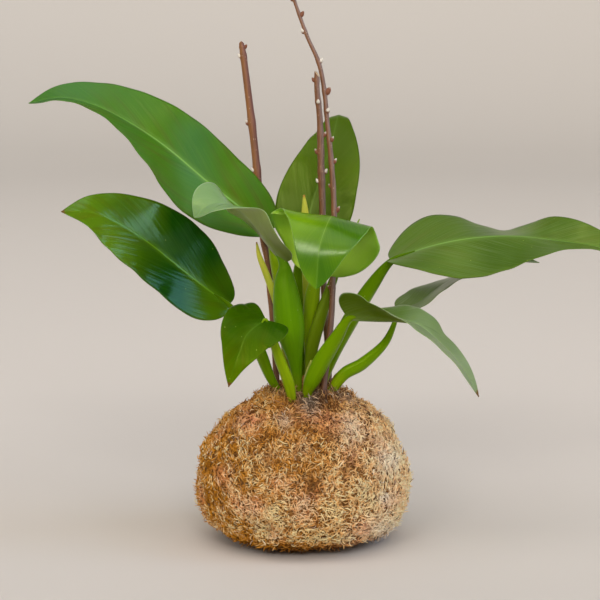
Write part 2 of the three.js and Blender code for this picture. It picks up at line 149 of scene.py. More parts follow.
def cloud(points: Array, size: float, seed: int) -> Array:
    """Soft random values in -1 to 1: random corners of a lattice, joined by smooth steps.

    Args:
        points: where, in millimetres, last axis x y z.
        size: the lattice's step in millimetres.
        seed: which random lattice.

    Returns:
        One value for each point.
    """
    side = 64
    lattice = np.random.default_rng(seed).uniform(-1, 1, (side, side, side))
    place = points / size + side / 2
    low = np.floor(place).astype(int)
    w = place - low
    w = w * w * (3 - 2 * w)
    total = np.zeros(points.shape[:-1])
    for corner in np.ndindex(2, 2, 2):
        index = (low + corner) % side
        weight = np.prod(np.where(np.array(corner) == 1, w, 1 - w), axis=-1)
        total += weight * lattice[index[..., 0], index[..., 1], index[..., 2]]
    return total


# Meshes


@dataclass
class Skin:
    """One closed surface: corner points in millimetres, faces by number of corners, and marks.

    Each list of faces has the number of its material, and each mark is three numbers at every
    point, which the materials read by the mark's name.
    """

    points: Array
    faces: list[Array]
    finishes: list[int]
    marks: dict[str, Array]


def tube_skin(rings: Array, marks: dict[str, Array], finish: int = 0, head_finish: int = 0) -> Skin:
    """A closed tube through rings of points, each end closed by a fan to its middle.

    Args:
        rings: points as ring, place on the ring, x y z, turning from right to upper side.
        marks: three numbers at each ring point.
        finish: number of the material.
        head_finish: number of the material on the last end.

    Returns:
        The closed skin, faces outward.
    """
    rows, sides, _ = rings.shape
    i, j = np.meshgrid(np.arange(rows - 1), np.arange(sides), indexing="ij")
    k = (j + 1) % sides
    walls = np.stack([i * sides + j, (i + 1) * sides + j, (i + 1) * sides + k, i * sides + k], -1)
    ends = rings[[0, -1]].mean(axis=1)
    place = np.arange(sides)
    beside = (place + 1) % sides
    last = (rows - 1) * sides
    foot = np.stack([np.full(sides, rows * sides), place, beside], -1)
    head = np.stack([np.full(sides, rows * sides + 1), last + beside, last + place], -1)
    points = np.vstack([rings.reshape(-1, 3), ends])
    spread = {
        name: np.vstack([mark.reshape(-1, 3), mark[[0, -1]].mean(axis=1)])
        for name, mark in marks.items()
    }
    return Skin(points, [walls.reshape(-1, 4), foot, head], [finish, finish, head_finish], spread)


def sheet_skin(upper: Array, lower: Array, upper_marks: dict, lower_marks: dict) -> Skin:
    """A closed sheet from its upper and lower grids, with walls round all four sides.

    Args:
        upper: points of the upper face as row, column, x y z.
        lower: points of the lower face, alike.
        upper_marks: three numbers at each upper point, by name.
        lower_marks: three numbers at each lower point, by name.

    Returns:
        The closed skin, faces outward.
    """
    rows, columns, _ = upper.shape
    top = np.arange(rows * columns).reshape(rows, columns)
    under = top + rows * columns

    def quads(a: Array, b: Array, c: Array, d: Array) -> Array:
        """Faces with four corners each from four arrays of point numbers."""
        return np.stack([a.ravel(), b.ravel(), c.ravel(), d.ravel()], -1)

    faces = [
        quads(top[:-1, :-1], top[:-1, 1:], top[1:, 1:], top[1:, :-1]),
        quads(under[:-1, :-1], under[1:, :-1], under[1:, 1:], under[:-1, 1:]),
        quads(top[:-1, 0], top[1:, 0], under[1:, 0], under[:-1, 0]),
        quads(top[1:, -1], top[:-1, -1], under[:-1, -1], under[1:, -1]),
        quads(top[0, 1:], top[0, :-1], under[0, :-1], under[0, 1:]),
        quads(top[-1, :-1], top[-1, 1:], under[-1, 1:], under[-1, :-1]),
    ]
    marks = {
        name: np.vstack([upper_marks[name].reshape(-1, 3), lower_marks[name].reshape(-1, 3)])
        for name in upper_marks
    }
    points = np.vstack([upper.reshape(-1, 3), lower.reshape(-1, 3)])
    return Skin(points, [np.vstack(faces)], [0], marks)


def make_piece(
    name: str,
    skins: list[Skin],
    materials: list[bpy.types.Material],
    nodes: tuple[str, ...] = (),
) -> bpy.types.Object:
    """Makes one object of several skins, smooth shaded, and ties it to the frame.

    Args:
        name: the piece's name.
        skins: its closed surfaces.
        materials: its materials, numbered as the skins say.
        nodes: the solids that it stands for.

    Returns:
        The object, at the origin, in metres.
    """
    starts = np.cumsum([0] + [len(skin.points) for skin in skins])
    groups = [
        (faces + start, finish)
        for skin, start in zip(skins, starts)
        for faces, finish in zip(skin.faces, skin.finishes)
    ]
    corners = np.concatenate([faces.ravel() for faces, _ in groups]).astype(np.int32)
    counts = np.concatenate([np.full(len(faces), faces.shape[1]) for faces, _ in groups])
    finishes = np.concatenate([np.full(len(faces), finish) for faces, finish in groups])
    points = np.vstack([skin.points for skin in skins]) * MM

    mesh = bpy.data.meshes.new(name)
    mesh.vertices.add(len(points))
    mesh.vertices.foreach_set("co", points.astype(np.float32).ravel())
    mesh.loops.add(len(corners))
    mesh.loops.foreach_set("vertex_index", corners)
    mesh.polygons.add(len(counts))
    loop_starts = np.concatenate([[0], np.cumsum(counts)[:-1]])
    mesh.polygons.foreach_set("loop_start", loop_starts.astype(np.int32))
    mesh.polygons.foreach_set("use_smooth", np.ones(len(counts), bool))
    for mark in sorted({mark for skin in skins for mark in skin.marks}):
        layer = mesh.attributes.new(mark, "FLOAT_VECTOR", "POINT")
        blank = [np.zeros_like(skin.points) for skin in skins]
        values = [skin.marks.get(mark, empty) for skin, empty in zip(skins, blank)]
        layer.data.foreach_set("vector", np.vstack(values).astype(np.float32).ravel())
    for material in materials:
        mesh.materials.append(material)
    mesh.polygons.foreach_set("material_index", finishes.astype(np.int32))
    mesh.update(calc_edges=True)
    mesh.validate()

    piece = bpy.data.objects.new(name, mesh)
    bpy.context.scene.collection.objects.link(piece)
    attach(piece, "root")
    if nodes:
        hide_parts(*nodes)
    LOG.info("%s: %d faces", name, len(counts))
    return piece


# Materials


Tree = bpy.types.NodeTree
Socket = bpy.types.NodeSocket
Feeds = dict[str | int, object]

# Socket numbers of a Mix node for colours. A Map Range node takes its value as 0, the range that
# the value comes from as 1 and 2, and the range that it goes to as 3 and 4.
MIX_A = 6
MIX_B = 7
MIX_RESULT = 2
WHOLE = (0.0, 1.0)


def colour(code: str) -> tuple[float, float, float, float]:
    """The linear colour of an sRGB hex code.

    Args:
        code: the code, such as #4f7519.

    Returns:
        Red, green, blue and alpha.
    """
    parts = np.array([int(code[k : k + 2], 16) for k in (1, 3, 5)]) / 255
    linear = np.where(parts <= 0.04045, parts / 12.92, ((parts + 0.055) / 1.055) ** 2.4)
    return (*linear.tolist(), 1.0)


def add_node(tree: Tree, kind: str, feeds: Feeds, **settings: object) -> bpy.types.Node:
    """Adds a shader node with its settings, its values and its links.

    Args:
        tree: the material's node tree.
        kind: the node's type, without the leading ShaderNode.
        feeds: for each input, by name or number, the socket that feeds it or its plain value.
        settings: properties of the node, such as its operation.

    Returns:
        The node.
    """
    node = tree.nodes.new("ShaderNode" + kind)
    for name, value in settings.items():
        setattr(node, name, value)
    for name, value in feeds.items():
        if isinstance(value, Socket):
            tree.links.new(value, node.inputs[name])
        else:
            node.inputs[name].default_value = value
    return node


@dataclass
class Coat:
    """A colour that comes in over another where a pattern's value runs through a band.

    Its share goes from start, at the band's low end, to end, at its high end.
    """

    pattern: Socket
    band: Row
    tint: str | Socket
    start: float = 0.0
    end: float = 1.0


def lay_coats(tree: Tree, body: str, coats: list[Coat]) -> Socket:
    """Lays coats of colour over a body colour, each mixed over the ones before by its share.

    Args:
        tree: the material's node tree.
        body: the hex code of the lowest colour.
        coats: the coats, the lowest first.

    Returns:
        The colour that shows in the end.
    """
    shown = colour(body)
    for coat in coats:
        band = {0: coat.pattern, 1: coat.band[0], 2: coat.band[1], 3: coat.start, 4: coat.end}
        share = add_node(tree, "MapRange", band).outputs[0]
        tint = coat.tint if isinstance(coat.tint, Socket) else colour(coat.tint)
        mixed = {0: share, MIX_A: shown, MIX_B: tint}
        shown = add_node(tree, "Mix", mixed, data_type="RGBA").outputs[MIX_RESULT]
    return shown


def grain(tree: Tree, mark: Socket, lengths: Row, detail: int) -> Socket:
    """Noise drawn out along the marks of a mesh.

    Args:
        tree: the material's node tree.
        mark: the place on the piece, in millimetres.
        lengths: how long one soft wave of the noise is each way, in millimetres.
        detail: how many finer layers it has.

    Returns:
        The noise's value.
    """
    scale = tuple(1 / length for length in lengths)
    drawn = add_node(tree, "Mapping", {"Vector": mark, "Scale": scale}).outputs[0]
    return add_node(tree, "TexNoise", {"Vector": drawn, "Scale": 1, "Detail": detail}).outputs[0]


@dataclass(frozen=True)
class Finish:
    """A surface's finish. Each kind says in its method surface what feeds the shader."""

    name: str

    def surface(self, tree: Tree) -> Feeds:
        """What feeds the shader, by input: nothing in a plain finish."""
        return {}

    def material(self) -> bpy.types.Material:
        """Builds the material round one principled shader.

        Returns:
            The material.
        """
        made = bpy.data.materials.new(self.name)
        made.use_nodes = True
        tree = made.node_tree
        tree.nodes.clear()
        shader = add_node(tree, "BsdfPrincipled", self.surface(tree))
        add_node(tree, "OutputMaterial", {"Surface": shader.outputs[0]})
        return made


@dataclass(frozen=True)
class BladeFinish(Finish):
    """Living leaf tissue under its grown coat of wax.

    It gives the eye a satin green with a pale midrib, fine streaks along the side veins and
    bronze tints. The wax breaks a highlight into soft waves, and the thin tissue glows a little
    where light comes through it. Density is the IOR, about 1.4 for leaf wax, and lengths are in
    millimetres. A band is the part of a pattern over which its colour comes in.
    """

    face: str
    deep: str
    light: str
    under: str = "#5f7a26"
    under_light: str = "#6f8c34"
    rib: str = "#86b356"
    margin: str = "#4a5a1c"
    tip: str = "#6b4a22"
    speck: str = "#b4c45a"
    bronze: str = "#5a5c1c"
    wax: str = "#dcf088"
    tones: Row = (-0.6, 0.6)
    bronze_share: float = 0.0
    bronze_band: Row = (0.46, 0.66)
    bronze_length: float = 45.0
    bronze_width: float = 17.0
    streak_share: float = 0.18
    light_band: Row = (0.48, 0.78)
    dark_band: Row = (0.22, 0.48)
    rib_share: float = 0.8
    rib_under_share: float = 0.3
    rib_tip_share: float = 0.35
    rib_fade: float = 0.4
    rib_widths: Row = (1.3, 0.25)
    rib_core: Row = (0.25, 1.0)
    rib_halo: Row = (0.5, 4.5)
    halo_share: float = 0.28
    margin_share: float = 0.45
    margin_band: Row = (0.96, 0.995)
    tip_start: float = 1.1
    tip_fade: float = 0.012
    speck_share: float = 0.0
    speck_step: float = 7.0
    speck_size: float = 0.06
    speck_core: float = 0.6
    gloss: float = 0.3
    under_gloss: float = 0.45
    gloss_spread: float = 0.12
    density: float = 1.36
    light_through: float = 0.3
    light_depth: float = 1.2
    light_spread: Row = (0.8, 1.0, 0.15)
    vein_step: float = 1.0
    vein_length: float = 18.0
    vein_relief: float = 0.25
    vein_height: float = 0.06
    wave_size: float = 7.0
    wave_relief: float = 0.6
    wave_depth: float = 0.3

    def rib_seen(self, tree: Tree, across: Socket, far: Socket, side: Socket) -> Socket:
        """How strongly the midrib shows: a core and a faint halo that thin out to the tip.

        Args:
            tree: the material's node tree.
            across: the distance from the midrib.
            far: the share of the way to the tip.
            side: 0 on the upper face and 1 under it.

        Returns:
            The midrib's share, 0 to 1.
        """
        away = add_node(tree, "Math", {0: across}, operation="ABSOLUTE").outputs[0]
        at_base, at_tip = self.rib_widths
        width = add_node(tree, "MapRange", {0: far, 3: at_base, 4: at_tip}).outputs[0]
        widths = add_node(tree, "Math", {0: away, 1: width}, operation="DIVIDE").outputs[0]
        core, halo = (
            add_node(
                tree, "MapRange", {0: widths, 1: near, 2: edge, 3: most, 4: 0},
                interpolation_type="SMOOTHSTEP",
            ).outputs[0]
            for (near, edge), most in ((self.rib_core, 1), (self.rib_halo, self.halo_share))
        )
        seen = add_node(tree, "Math", {0: core, 1: halo}, operation="MAXIMUM").outputs[0]
        by_side = {0: side, 3: self.rib_share, 4: self.rib_under_share}
        to_tip = {0: far, 1: self.rib_fade, 2: 1, 3: 1, 4: self.rib_tip_share}
        for dimming in (by_side, to_tip):
            left = add_node(tree, "MapRange", dimming).outputs[0]
            seen = add_node(tree, "Math", {0: seen, 1: left}, operation="MULTIPLY").outputs[0]
        return seen

    def surface(self, tree: Tree) -> Feeds:
        """The blade, from the marks blade (across, vein, side) and place (u, reach, tone).

        Args:
            tree: the material's node tree.

        Returns:
            What feeds the shader, by input.
        """
        spots = add_node(tree, "TexCoord", {}).outputs["Object"]
        blade = add_node(tree, "Attribute", {}, attribute_name="blade").outputs["Vector"]
        place = add_node(tree, "Attribute", {}, attribute_name="place").outputs["Vector"]
        across, _, side = add_node(tree, "SeparateXYZ", {0: blade}).outputs
        far, reach, tone = add_node(tree, "SeparateXYZ", {0: place}).outputs
        streaks = grain(tree, blade, (self.vein_length, self.vein_step, 1), 3)
        waves = grain(tree, blade, (self.vein_length, self.wave_size, 1), 1)
        flush = grain(tree, blade, (self.bronze_length, self.bronze_width, 1), 3)
        cells = add_node(tree, "TexVoronoi", {"Vector": spots, "Scale": 1 / (self.speck_step * MM)})
        specks = cells.outputs["Distance"]
        speck_band = (self.speck_core * self.speck_size, self.speck_size)

        flushed = Coat(flush, self.bronze_band, self.bronze, end=self.bronze_share)
        coats = [
            # The tone mixes deep into face, and under into under light: it holds the leaf's random patches
            # and its painted light and shade
            Coat(tone, self.tones, lay_coats(tree, self.face, [flushed])),
            Coat(specks, speck_band, self.speck, start=self.speck_share, end=0),
            Coat(side, WHOLE, lay_coats(tree, self.under, [Coat(tone, self.tones, self.under_light)])),
            Coat(streaks, self.light_band, self.light, end=self.streak_share),
            Coat(streaks, self.dark_band, self.deep, start=self.streak_share, end=0),
            Coat(self.rib_seen(tree, across, far, side), WHOLE, self.rib),
            Coat(reach, self.margin_band, self.margin, end=self.margin_share),
            Coat(far, (self.tip_start, self.tip_start + self.tip_fade), self.tip),
        ]
        upper, lower = (gloss - self.gloss_spread / 2 for gloss in (self.gloss, self.under_gloss))
        sheen = add_node(tree, "MapRange", {0: side, 3: upper, 4: lower}).outputs[0]
        dull = {0: waves, 1: self.gloss_spread, 2: sheen}
        swell = {"Height": waves, "Strength": self.wave_relief, "Distance": self.wave_depth * MM}
        billow = add_node(tree, "Bump", swell).outputs[0]
        ribs = {"Height": streaks, "Strength": self.vein_relief, "Distance": self.vein_height * MM}
        return {
            "Base Color": lay_coats(tree, self.deep, coats),
            "Roughness": add_node(tree, "Math", dull, operation="MULTIPLY_ADD").outputs[0],
            "Normal": add_node(tree, "Bump", {**ribs, "Normal": billow}).outputs[0],
            "IOR": self.density,
            "Specular Tint": colour(self.wax),
            "Subsurface Weight": self.light_through,
            "Subsurface Radius": self.light_spread,
            "Subsurface Scale": self.light_depth * MM,
        }


@dataclass(frozen=True)
class StalkFinish(Finish):
    """Smooth fleshy stalk tissue under thin wax.

    It gives the eye a long soft highlight, faint darker streaks along the stalk, a few pale
    specks, and a colour that goes from a yellowish foot to a deeper green at the top. Density is
    the IOR, and lengths are in millimetres.
    """

    foot: str = "#a3ae20"
    middle: str = "#608e04"
    top: str = "#5c8a14"
    tip: str = "#a8743a"
    streak: str = "#4a7606"
    speck: str = "#cfd892"
    wax: str = "#d8f068"
    foot_band: Row = (0.05, 0.3)
    top_band: Row = (0.5, 0.95)
    tip_start: float = 1.1
    tip_fade: float = 0.03
    streak_share: float = 0.35
    streak_band: Row = (0.42, 0.72)
    streak_width: float = 1.6
    streak_length: float = 26.0
    streak_relief: float = 0.3
    streak_height: float = 0.2
    speck_share: float = 0.7
    speck_band: Row = (0.03, 0.06)
    speck_step: float = 5.0
    glosses: Row = (0.24, 0.4)
    density: float = 1.32
    light_through: float = 0.3
    light_depth: float = 1.8
    light_spread: Row = (1.0, 1.2, 0.2)

    def surface(self, tree: Tree) -> Feeds:
        """The stalk, from the marks stem (across, deep, along) and growth (share).

        Args:
            tree: the material's node tree.

        Returns:
            What feeds the shader, by input.
        """
        stem = add_node(tree, "Attribute", {}, attribute_name="stem").outputs["Vector"]
        growth = add_node(tree, "Attribute", {}, attribute_name="growth").outputs["Vector"]
        share = add_node(tree, "SeparateXYZ", {0: growth}).outputs["X"]
        streaks = grain(tree, stem, (self.streak_width, self.streak_width, self.streak_length), 2)
        cells = add_node(tree, "TexVoronoi", {"Vector": stem, "Scale": 1 / self.speck_step})
        specks = cells.outputs["Distance"]
        coats = [
            Coat(share, self.foot_band, self.middle),
            Coat(share, self.top_band, self.top),
            Coat(streaks, self.streak_band, self.streak, end=self.streak_share),
            Coat(specks, self.speck_band, self.speck, start=self.speck_share, end=0),
            Coat(share, (self.tip_start, self.tip_start + self.tip_fade), self.tip),
        ]
        shine = {0: streaks, 3: self.glosses[0], 4: self.glosses[1]}
        ridges = {"Height": streaks, "Strength": self.streak_relief, "Distance": self.streak_height * MM}
        return {
            "Base Color": lay_coats(tree, self.foot, coats),
            "Roughness": add_node(tree, "MapRange", shine).outputs[0],
            "Normal": add_node(tree, "Bump", ridges).outputs[0],
            "IOR": self.density,
            "Specular Tint": colour(self.wax),
            "Subsurface Weight": self.light_through,
            "Subsurface Radius": self.light_spread,
            "Subsurface Scale": self.light_depth * MM,
        }


@dataclass(frozen=True)
class BarkFinish(Finish):
    """Smooth young bark, as it grew.

    It gives the eye a dull satin brown with fine dark streaks along the twig and pale raised
    pores, and light is painted into it: a warm tan on its left side and a cooler grey on its
    right, as warm and cool light fell from the two sides. Lengths are in millimetres.
    """

    warm: str = "#84542e"
    # The grey of painted cool light on the right-hand side, over the warm tan
    cool_light_side: str = "#86706a"
    dark: str = "#46281c"
    pore: str = "#bfa284"
    cool_light_band: Row = (-0.5, 0.8)
    streak_share: float = 0.6
    streak_band: Row = (0.45, 0.7)
    streak_width: float = 0.7
    streak_length: float = 9.0
    aged_share: float = 0.8
    aged_band: Row = (0.0, 0.3)
    pore_share: float = 0.7
    pore_band: Row = (0.1, 0.17)
    pore_step: float = 2.4
    pore_height: float = 0.5
    glosses: Row = (0.42, 0.66)
    relief: float = 0.6
    relief_height: float = 0.25

    def surface(self, tree: Tree) -> Feeds:
        """The bark, from the marks stem (across, deep, along) and growth (share, side).

        Args:
            tree: the material's node tree.

        Returns:
            What feeds the shader, by input.
        """
        stem = add_node(tree, "Attribute", {}, attribute_name="stem").outputs["Vector"]
        growth = add_node(tree, "Attribute", {}, attribute_name="growth").outputs["Vector"]
        share, side, _ = add_node(tree, "SeparateXYZ", {0: growth}).outputs
        streaks = grain(tree, stem, (self.streak_width, self.streak_width, self.streak_length), 4)
        cells = add_node(tree, "TexVoronoi", {"Vector": stem, "Scale": 1 / self.pore_step})
        near = {0: cells.outputs["Distance"], 1: self.pore_band[0], 2: self.pore_band[1]}
        pores = add_node(tree, "MapRange", {**near, 3: self.pore_share, 4: 0}).outputs[0]
        coats = [
            # Painted light: cool grey on the right-hand side of the twig
            Coat(side, self.cool_light_band, self.cool_light_side),
            Coat(streaks, self.streak_band, self.dark, end=self.streak_share),
            Coat(share, self.aged_band, self.dark, start=self.aged_share, end=0),
            Coat(pores, WHOLE, self.pore),
        ]
        shine = {0: streaks, 3: self.glosses[0], 4: self.glosses[1]}
        raised = {0: pores, 1: self.pore_height, 2: streaks}
        height = add_node(tree, "Math", raised, operation="MULTIPLY_ADD").outputs[0]
        rough = {"Height": height, "Strength": self.relief, "Distance": self.relief_height * MM}
        return {
            "Base Color": lay_coats(tree, self.warm, coats),
            "Roughness": add_node(tree, "MapRange", shine).outputs[0],
            "Normal": add_node(tree, "Bump", rough).outputs[0],
        }


@dataclass(frozen=True)
class BudFinish(Finish):
    """A twig's bud: a brown scale with a silvery coat of short hairs.

    The hairs scatter the light, so the bud gives the eye a pale matt tip on a dull brown foot.
    Lengths are in millimetres.
    """

    scale: str = "#7c4a30"
    silver: str = "#d9d2c4"
    hair_width: float = 0.25
    ragged: float = 0.3
    coat_band: Row = (0.85, 1.15)
    relief: float = 0.5
    relief_height: float = 0.15
    rough: float = 0.75

    def surface(self, tree: Tree) -> Feeds:
        """The bud, from the mark growth (share from foot to tip, how silvery).

        Args:
            tree: the material's node tree.

        Returns:
            What feeds the shader, by input.
        """
        spots = add_node(tree, "TexCoord", {}).outputs["Object"]
        growth = add_node(tree, "Attribute", {}, attribute_name="growth").outputs["Vector"]
        share, fur, _ = add_node(tree, "SeparateXYZ", {0: growth}).outputs
        noise = {"Vector": spots, "Scale": 1 / (self.hair_width * MM)}
        hairs = add_node(tree, "TexNoise", noise).outputs[0]
        uneven = {0: hairs, 1: self.ragged, 2: share}
        line = add_node(tree, "Math", uneven, operation="MULTIPLY_ADD").outputs[0]
        furry = add_node(tree, "Math", {0: line, 1: fur}, operation="ADD").outputs[0]
        fluff = {"Height": hairs, "Strength": self.relief, "Distance": self.relief_height * MM}
        return {
            "Base Color": lay_coats(tree, self.scale, [Coat(furry, self.coat_band, self.silver)]),
            "Normal": add_node(tree, "Bump", fluff).outputs[0],
            "Roughness": self.rough,
        }


@dataclass(frozen=True)
class MossFinish(Finish):
    """Dried moss strands, as they were gathered.

    They give the eye a matt straw to brown with golden, pinkish and silvery patches and a few
    dead dark strands. Each strand is darker where it lies deep in the ball, which is painted shade.
    """

    dark: str = "#ac6c26"
    straw: str = "#fabe68"
    bright: str = "#ffecb4"
    gold: str = "#c8861a"
    pink: str = "#ffb48e"
    pale: str = "#faeed8"
    dead: str = "#46280e"
    # Painted shade: the colour of a strand where it lies deep in the ball
    root: str = "#8c5216"
    straw_tone: float = 0.5
    dead_tone: float = -0.5
    dead_share: float = 0.85
    deep_shade_band: Row = (-1.2, 0.1)
    deep_shade_share: float = 0.5
    rough: float = 0.92
    shine: float = 0.2

    def surface(self, tree: Tree) -> Feeds:
        """The strands, from the marks tuft (tone, pink, pale) and lift (share, height, gold).

        Args:
            tree: the material's node tree.

        Returns:
            What feeds the shader, by input.
        """
        tuft = add_node(tree, "Attribute", {}, attribute_name="tuft").outputs["Vector"]
        lift = add_node(tree, "Attribute", {}, attribute_name="lift").outputs["Vector"]
        tone, pink, pale = add_node(tree, "SeparateXYZ", {0: tuft}).outputs
        _, height, golden = add_node(tree, "SeparateXYZ", {0: lift}).outputs
        coats = [
            Coat(tone, (0, self.straw_tone), self.straw),
            Coat(tone, (self.straw_tone, 1), self.bright),
            Coat(golden, WHOLE, self.gold),
            Coat(pink, WHOLE, self.pink),
            Coat(pale, WHOLE, self.pale),
            Coat(tone, (self.dead_tone, 0), self.dead, start=self.dead_share, end=0),
            # Painted shade deep in the ball, by how far a strand stands off it
            Coat(height, self.deep_shade_band, self.root, start=self.deep_shade_share, end=0),
        ]
        return {
            "Base Color": lay_coats(tree, self.dark, coats),
            "Roughness": self.rough,
            "Specular IOR Level": self.shine,
        }


@dataclass(frozen=True)
class MatFinish(Finish):
    """Matted, dried or crumbly plant matter, soil, or cut wood, broken or cut and left to dry.

    It gives the eye two dull tones in small grains, with shadows between them. Lengths are in
    millimetres.
    """

    dark: str = "#5c3a14"
    light: str = "#b48040"
    crumb: float = 1.6
    depth: float = 0.6
    light_band: Row = (0.38, 0.66)
    relief: float = 0.9
    rough: float = 0.92

    def surface(self, tree: Tree) -> Feeds:
        """Two tones mixed by crumbs, with a small relief.

        Args:
            tree: the material's node tree.

        Returns:
            What feeds the shader, by input.
        """
        spots = add_node(tree, "TexCoord", {}).outputs["Object"]
        grains = {"Vector": spots, "Scale": 1 / (self.crumb * MM), "Detail": 4}
        crumbs = add_node(tree, "TexNoise", grains).outputs[0]
        rough = {"Height": crumbs, "Strength": self.relief, "Distance": self.depth * MM}
        return {
            "Base Color": lay_coats(tree, self.dark, [Coat(crumbs, self.light_band, self.light)]),
            "Normal": add_node(tree, "Bump", rough).outputs[0],
            "Roughness": self.rough,
        }


@dataclass(frozen=True)
class FloorFinish(Finish):
    """The studio floor: board under matt wall paint.

    It gives the eye one even pale tone that darkens a little far behind. Places are in
    millimetres.
    """

    near: str = "#dcd4cb"
    far: str = "#b7b0a7"
    near_y: float = 600.0
    far_y: float = 3600.0
    rough: float = 0.9
    shine: float = 0.2

    def surface(self, tree: Tree) -> Feeds:
        """Two pale tones from the front to the back.

        Args:
            tree: the material's node tree.

        Returns:
            What feeds the shader, by input.
        """
        spots = add_node(tree, "TexCoord", {}).outputs["Object"]
        back = add_node(tree, "SeparateXYZ", {0: spots}).outputs["Y"]
        depth = (self.near_y * MM, self.far_y * MM)
        return {
            "Base Color": lay_coats(tree, self.near, [Coat(back, depth, self.far)]),
            "Roughness": self.rough,
            "Specular IOR Level": self.shine,
        }


# Stems


@dataclass(frozen=True)
class Section:
    """How a stem is cut across: its flatness, its keel at the back, and its mesh's fineness."""

    flat: float
    keel: float
    rings: int
    sides: int


LEAF_STALK = Section(flat=0.65, keel=0.25, rings=64, sides=20)
ROLLED_LEAF = Section(flat=0.55, keel=0.0, rings=56, sides=16)
ROUND_TWIG = Section(flat=1.0, keel=0.0, rings=160, sides=12)
THINNEST = 0.1


def stem_rings(path: Rows, girth: Row, back: Row, section: Section, shares: Array) -> tuple[Array, dict]:
    """Rings of points round a stem, and what its material reads there.

    At each share a ring lies across the path: girth cos(a) to the right and girth flat keel
    sin(a) to the back, where keel is 1 plus its share of the cube of -sin(a) where that is above 0.

    Args:
        path: knots of the stem's middle line.
        girth: its half-width at even steps.
        back: the way its flat side looks.
        section: its section.
        shares: where the rings stand, 0 to 1.

    Returns:
        The rings, and the marks stem and growth.
    """
    point, _, up, right = frames(path, (back, back), shares)
    angle = np.linspace(0, 2 * np.pi, section.sides, endpoint=False)
    keel = 1 + section.keel * np.maximum(-np.sin(angle), 0) ** 3
    wide = along(girth, shares)[:, None]
    across = wide * np.cos(angle)
    deep = wide * section.flat * keel * np.sin(angle)
    rings = point[:, None] + across[..., None] * right[:, None] + deep[..., None] * up[:, None]
    far = np.broadcast_to((shares * length_of(path))[:, None], across.shape)
    grown = np.broadcast_to(shares[:, None], across.shape)
    # Where a point lies from left to right across the stem; the bark paints warm and cool light by it
    side = (rings - point[:, None])[..., 0] / np.maximum(wide, THINNEST)
    marks = {
        "stem": np.stack([across, deep, far], -1),
        "growth": np.stack([grown, side, np.zeros_like(side)], -1),
    }
    return rings, marks


# Leaves


@dataclass(frozen=True)
class BladeForm:
    """What every blade shares: thickness, rib and groove, blunt ends, lobes, veins and ripples.

    Lengths are in millimetres, and rows and columns say how fine its mesh is.
    """

    thick: float = 0.55
    thinning: float = 0.6
    rib_height: float = 1.3
    rib_width: float = 2.4
    groove_depth: float = 0.35
    groove_width: float = 1.1
    blunt: float = 0.5
    blunt_share: float = 0.05
    margin_power: int = 6
    lobe_curve: float = 1.6
    lobe_fade: int = 3
    vein_lean: float = 2.1
    vein_bend: float = 0.012
    tone_size: float = 26.0
    ripple: float = 0.35
    ripple_length: float = 21.0
    ripple_shift: float = 2.1
    # Where painted light comes in at a leaf's base, as shares of the way
    painted_light_base_band: Row = (0.35, 0.05)
    rows: int = 88
    columns: int = 15


BLADE = BladeForm()
RIB_END = 0.1
RIB_END_GIRTH = 0.7


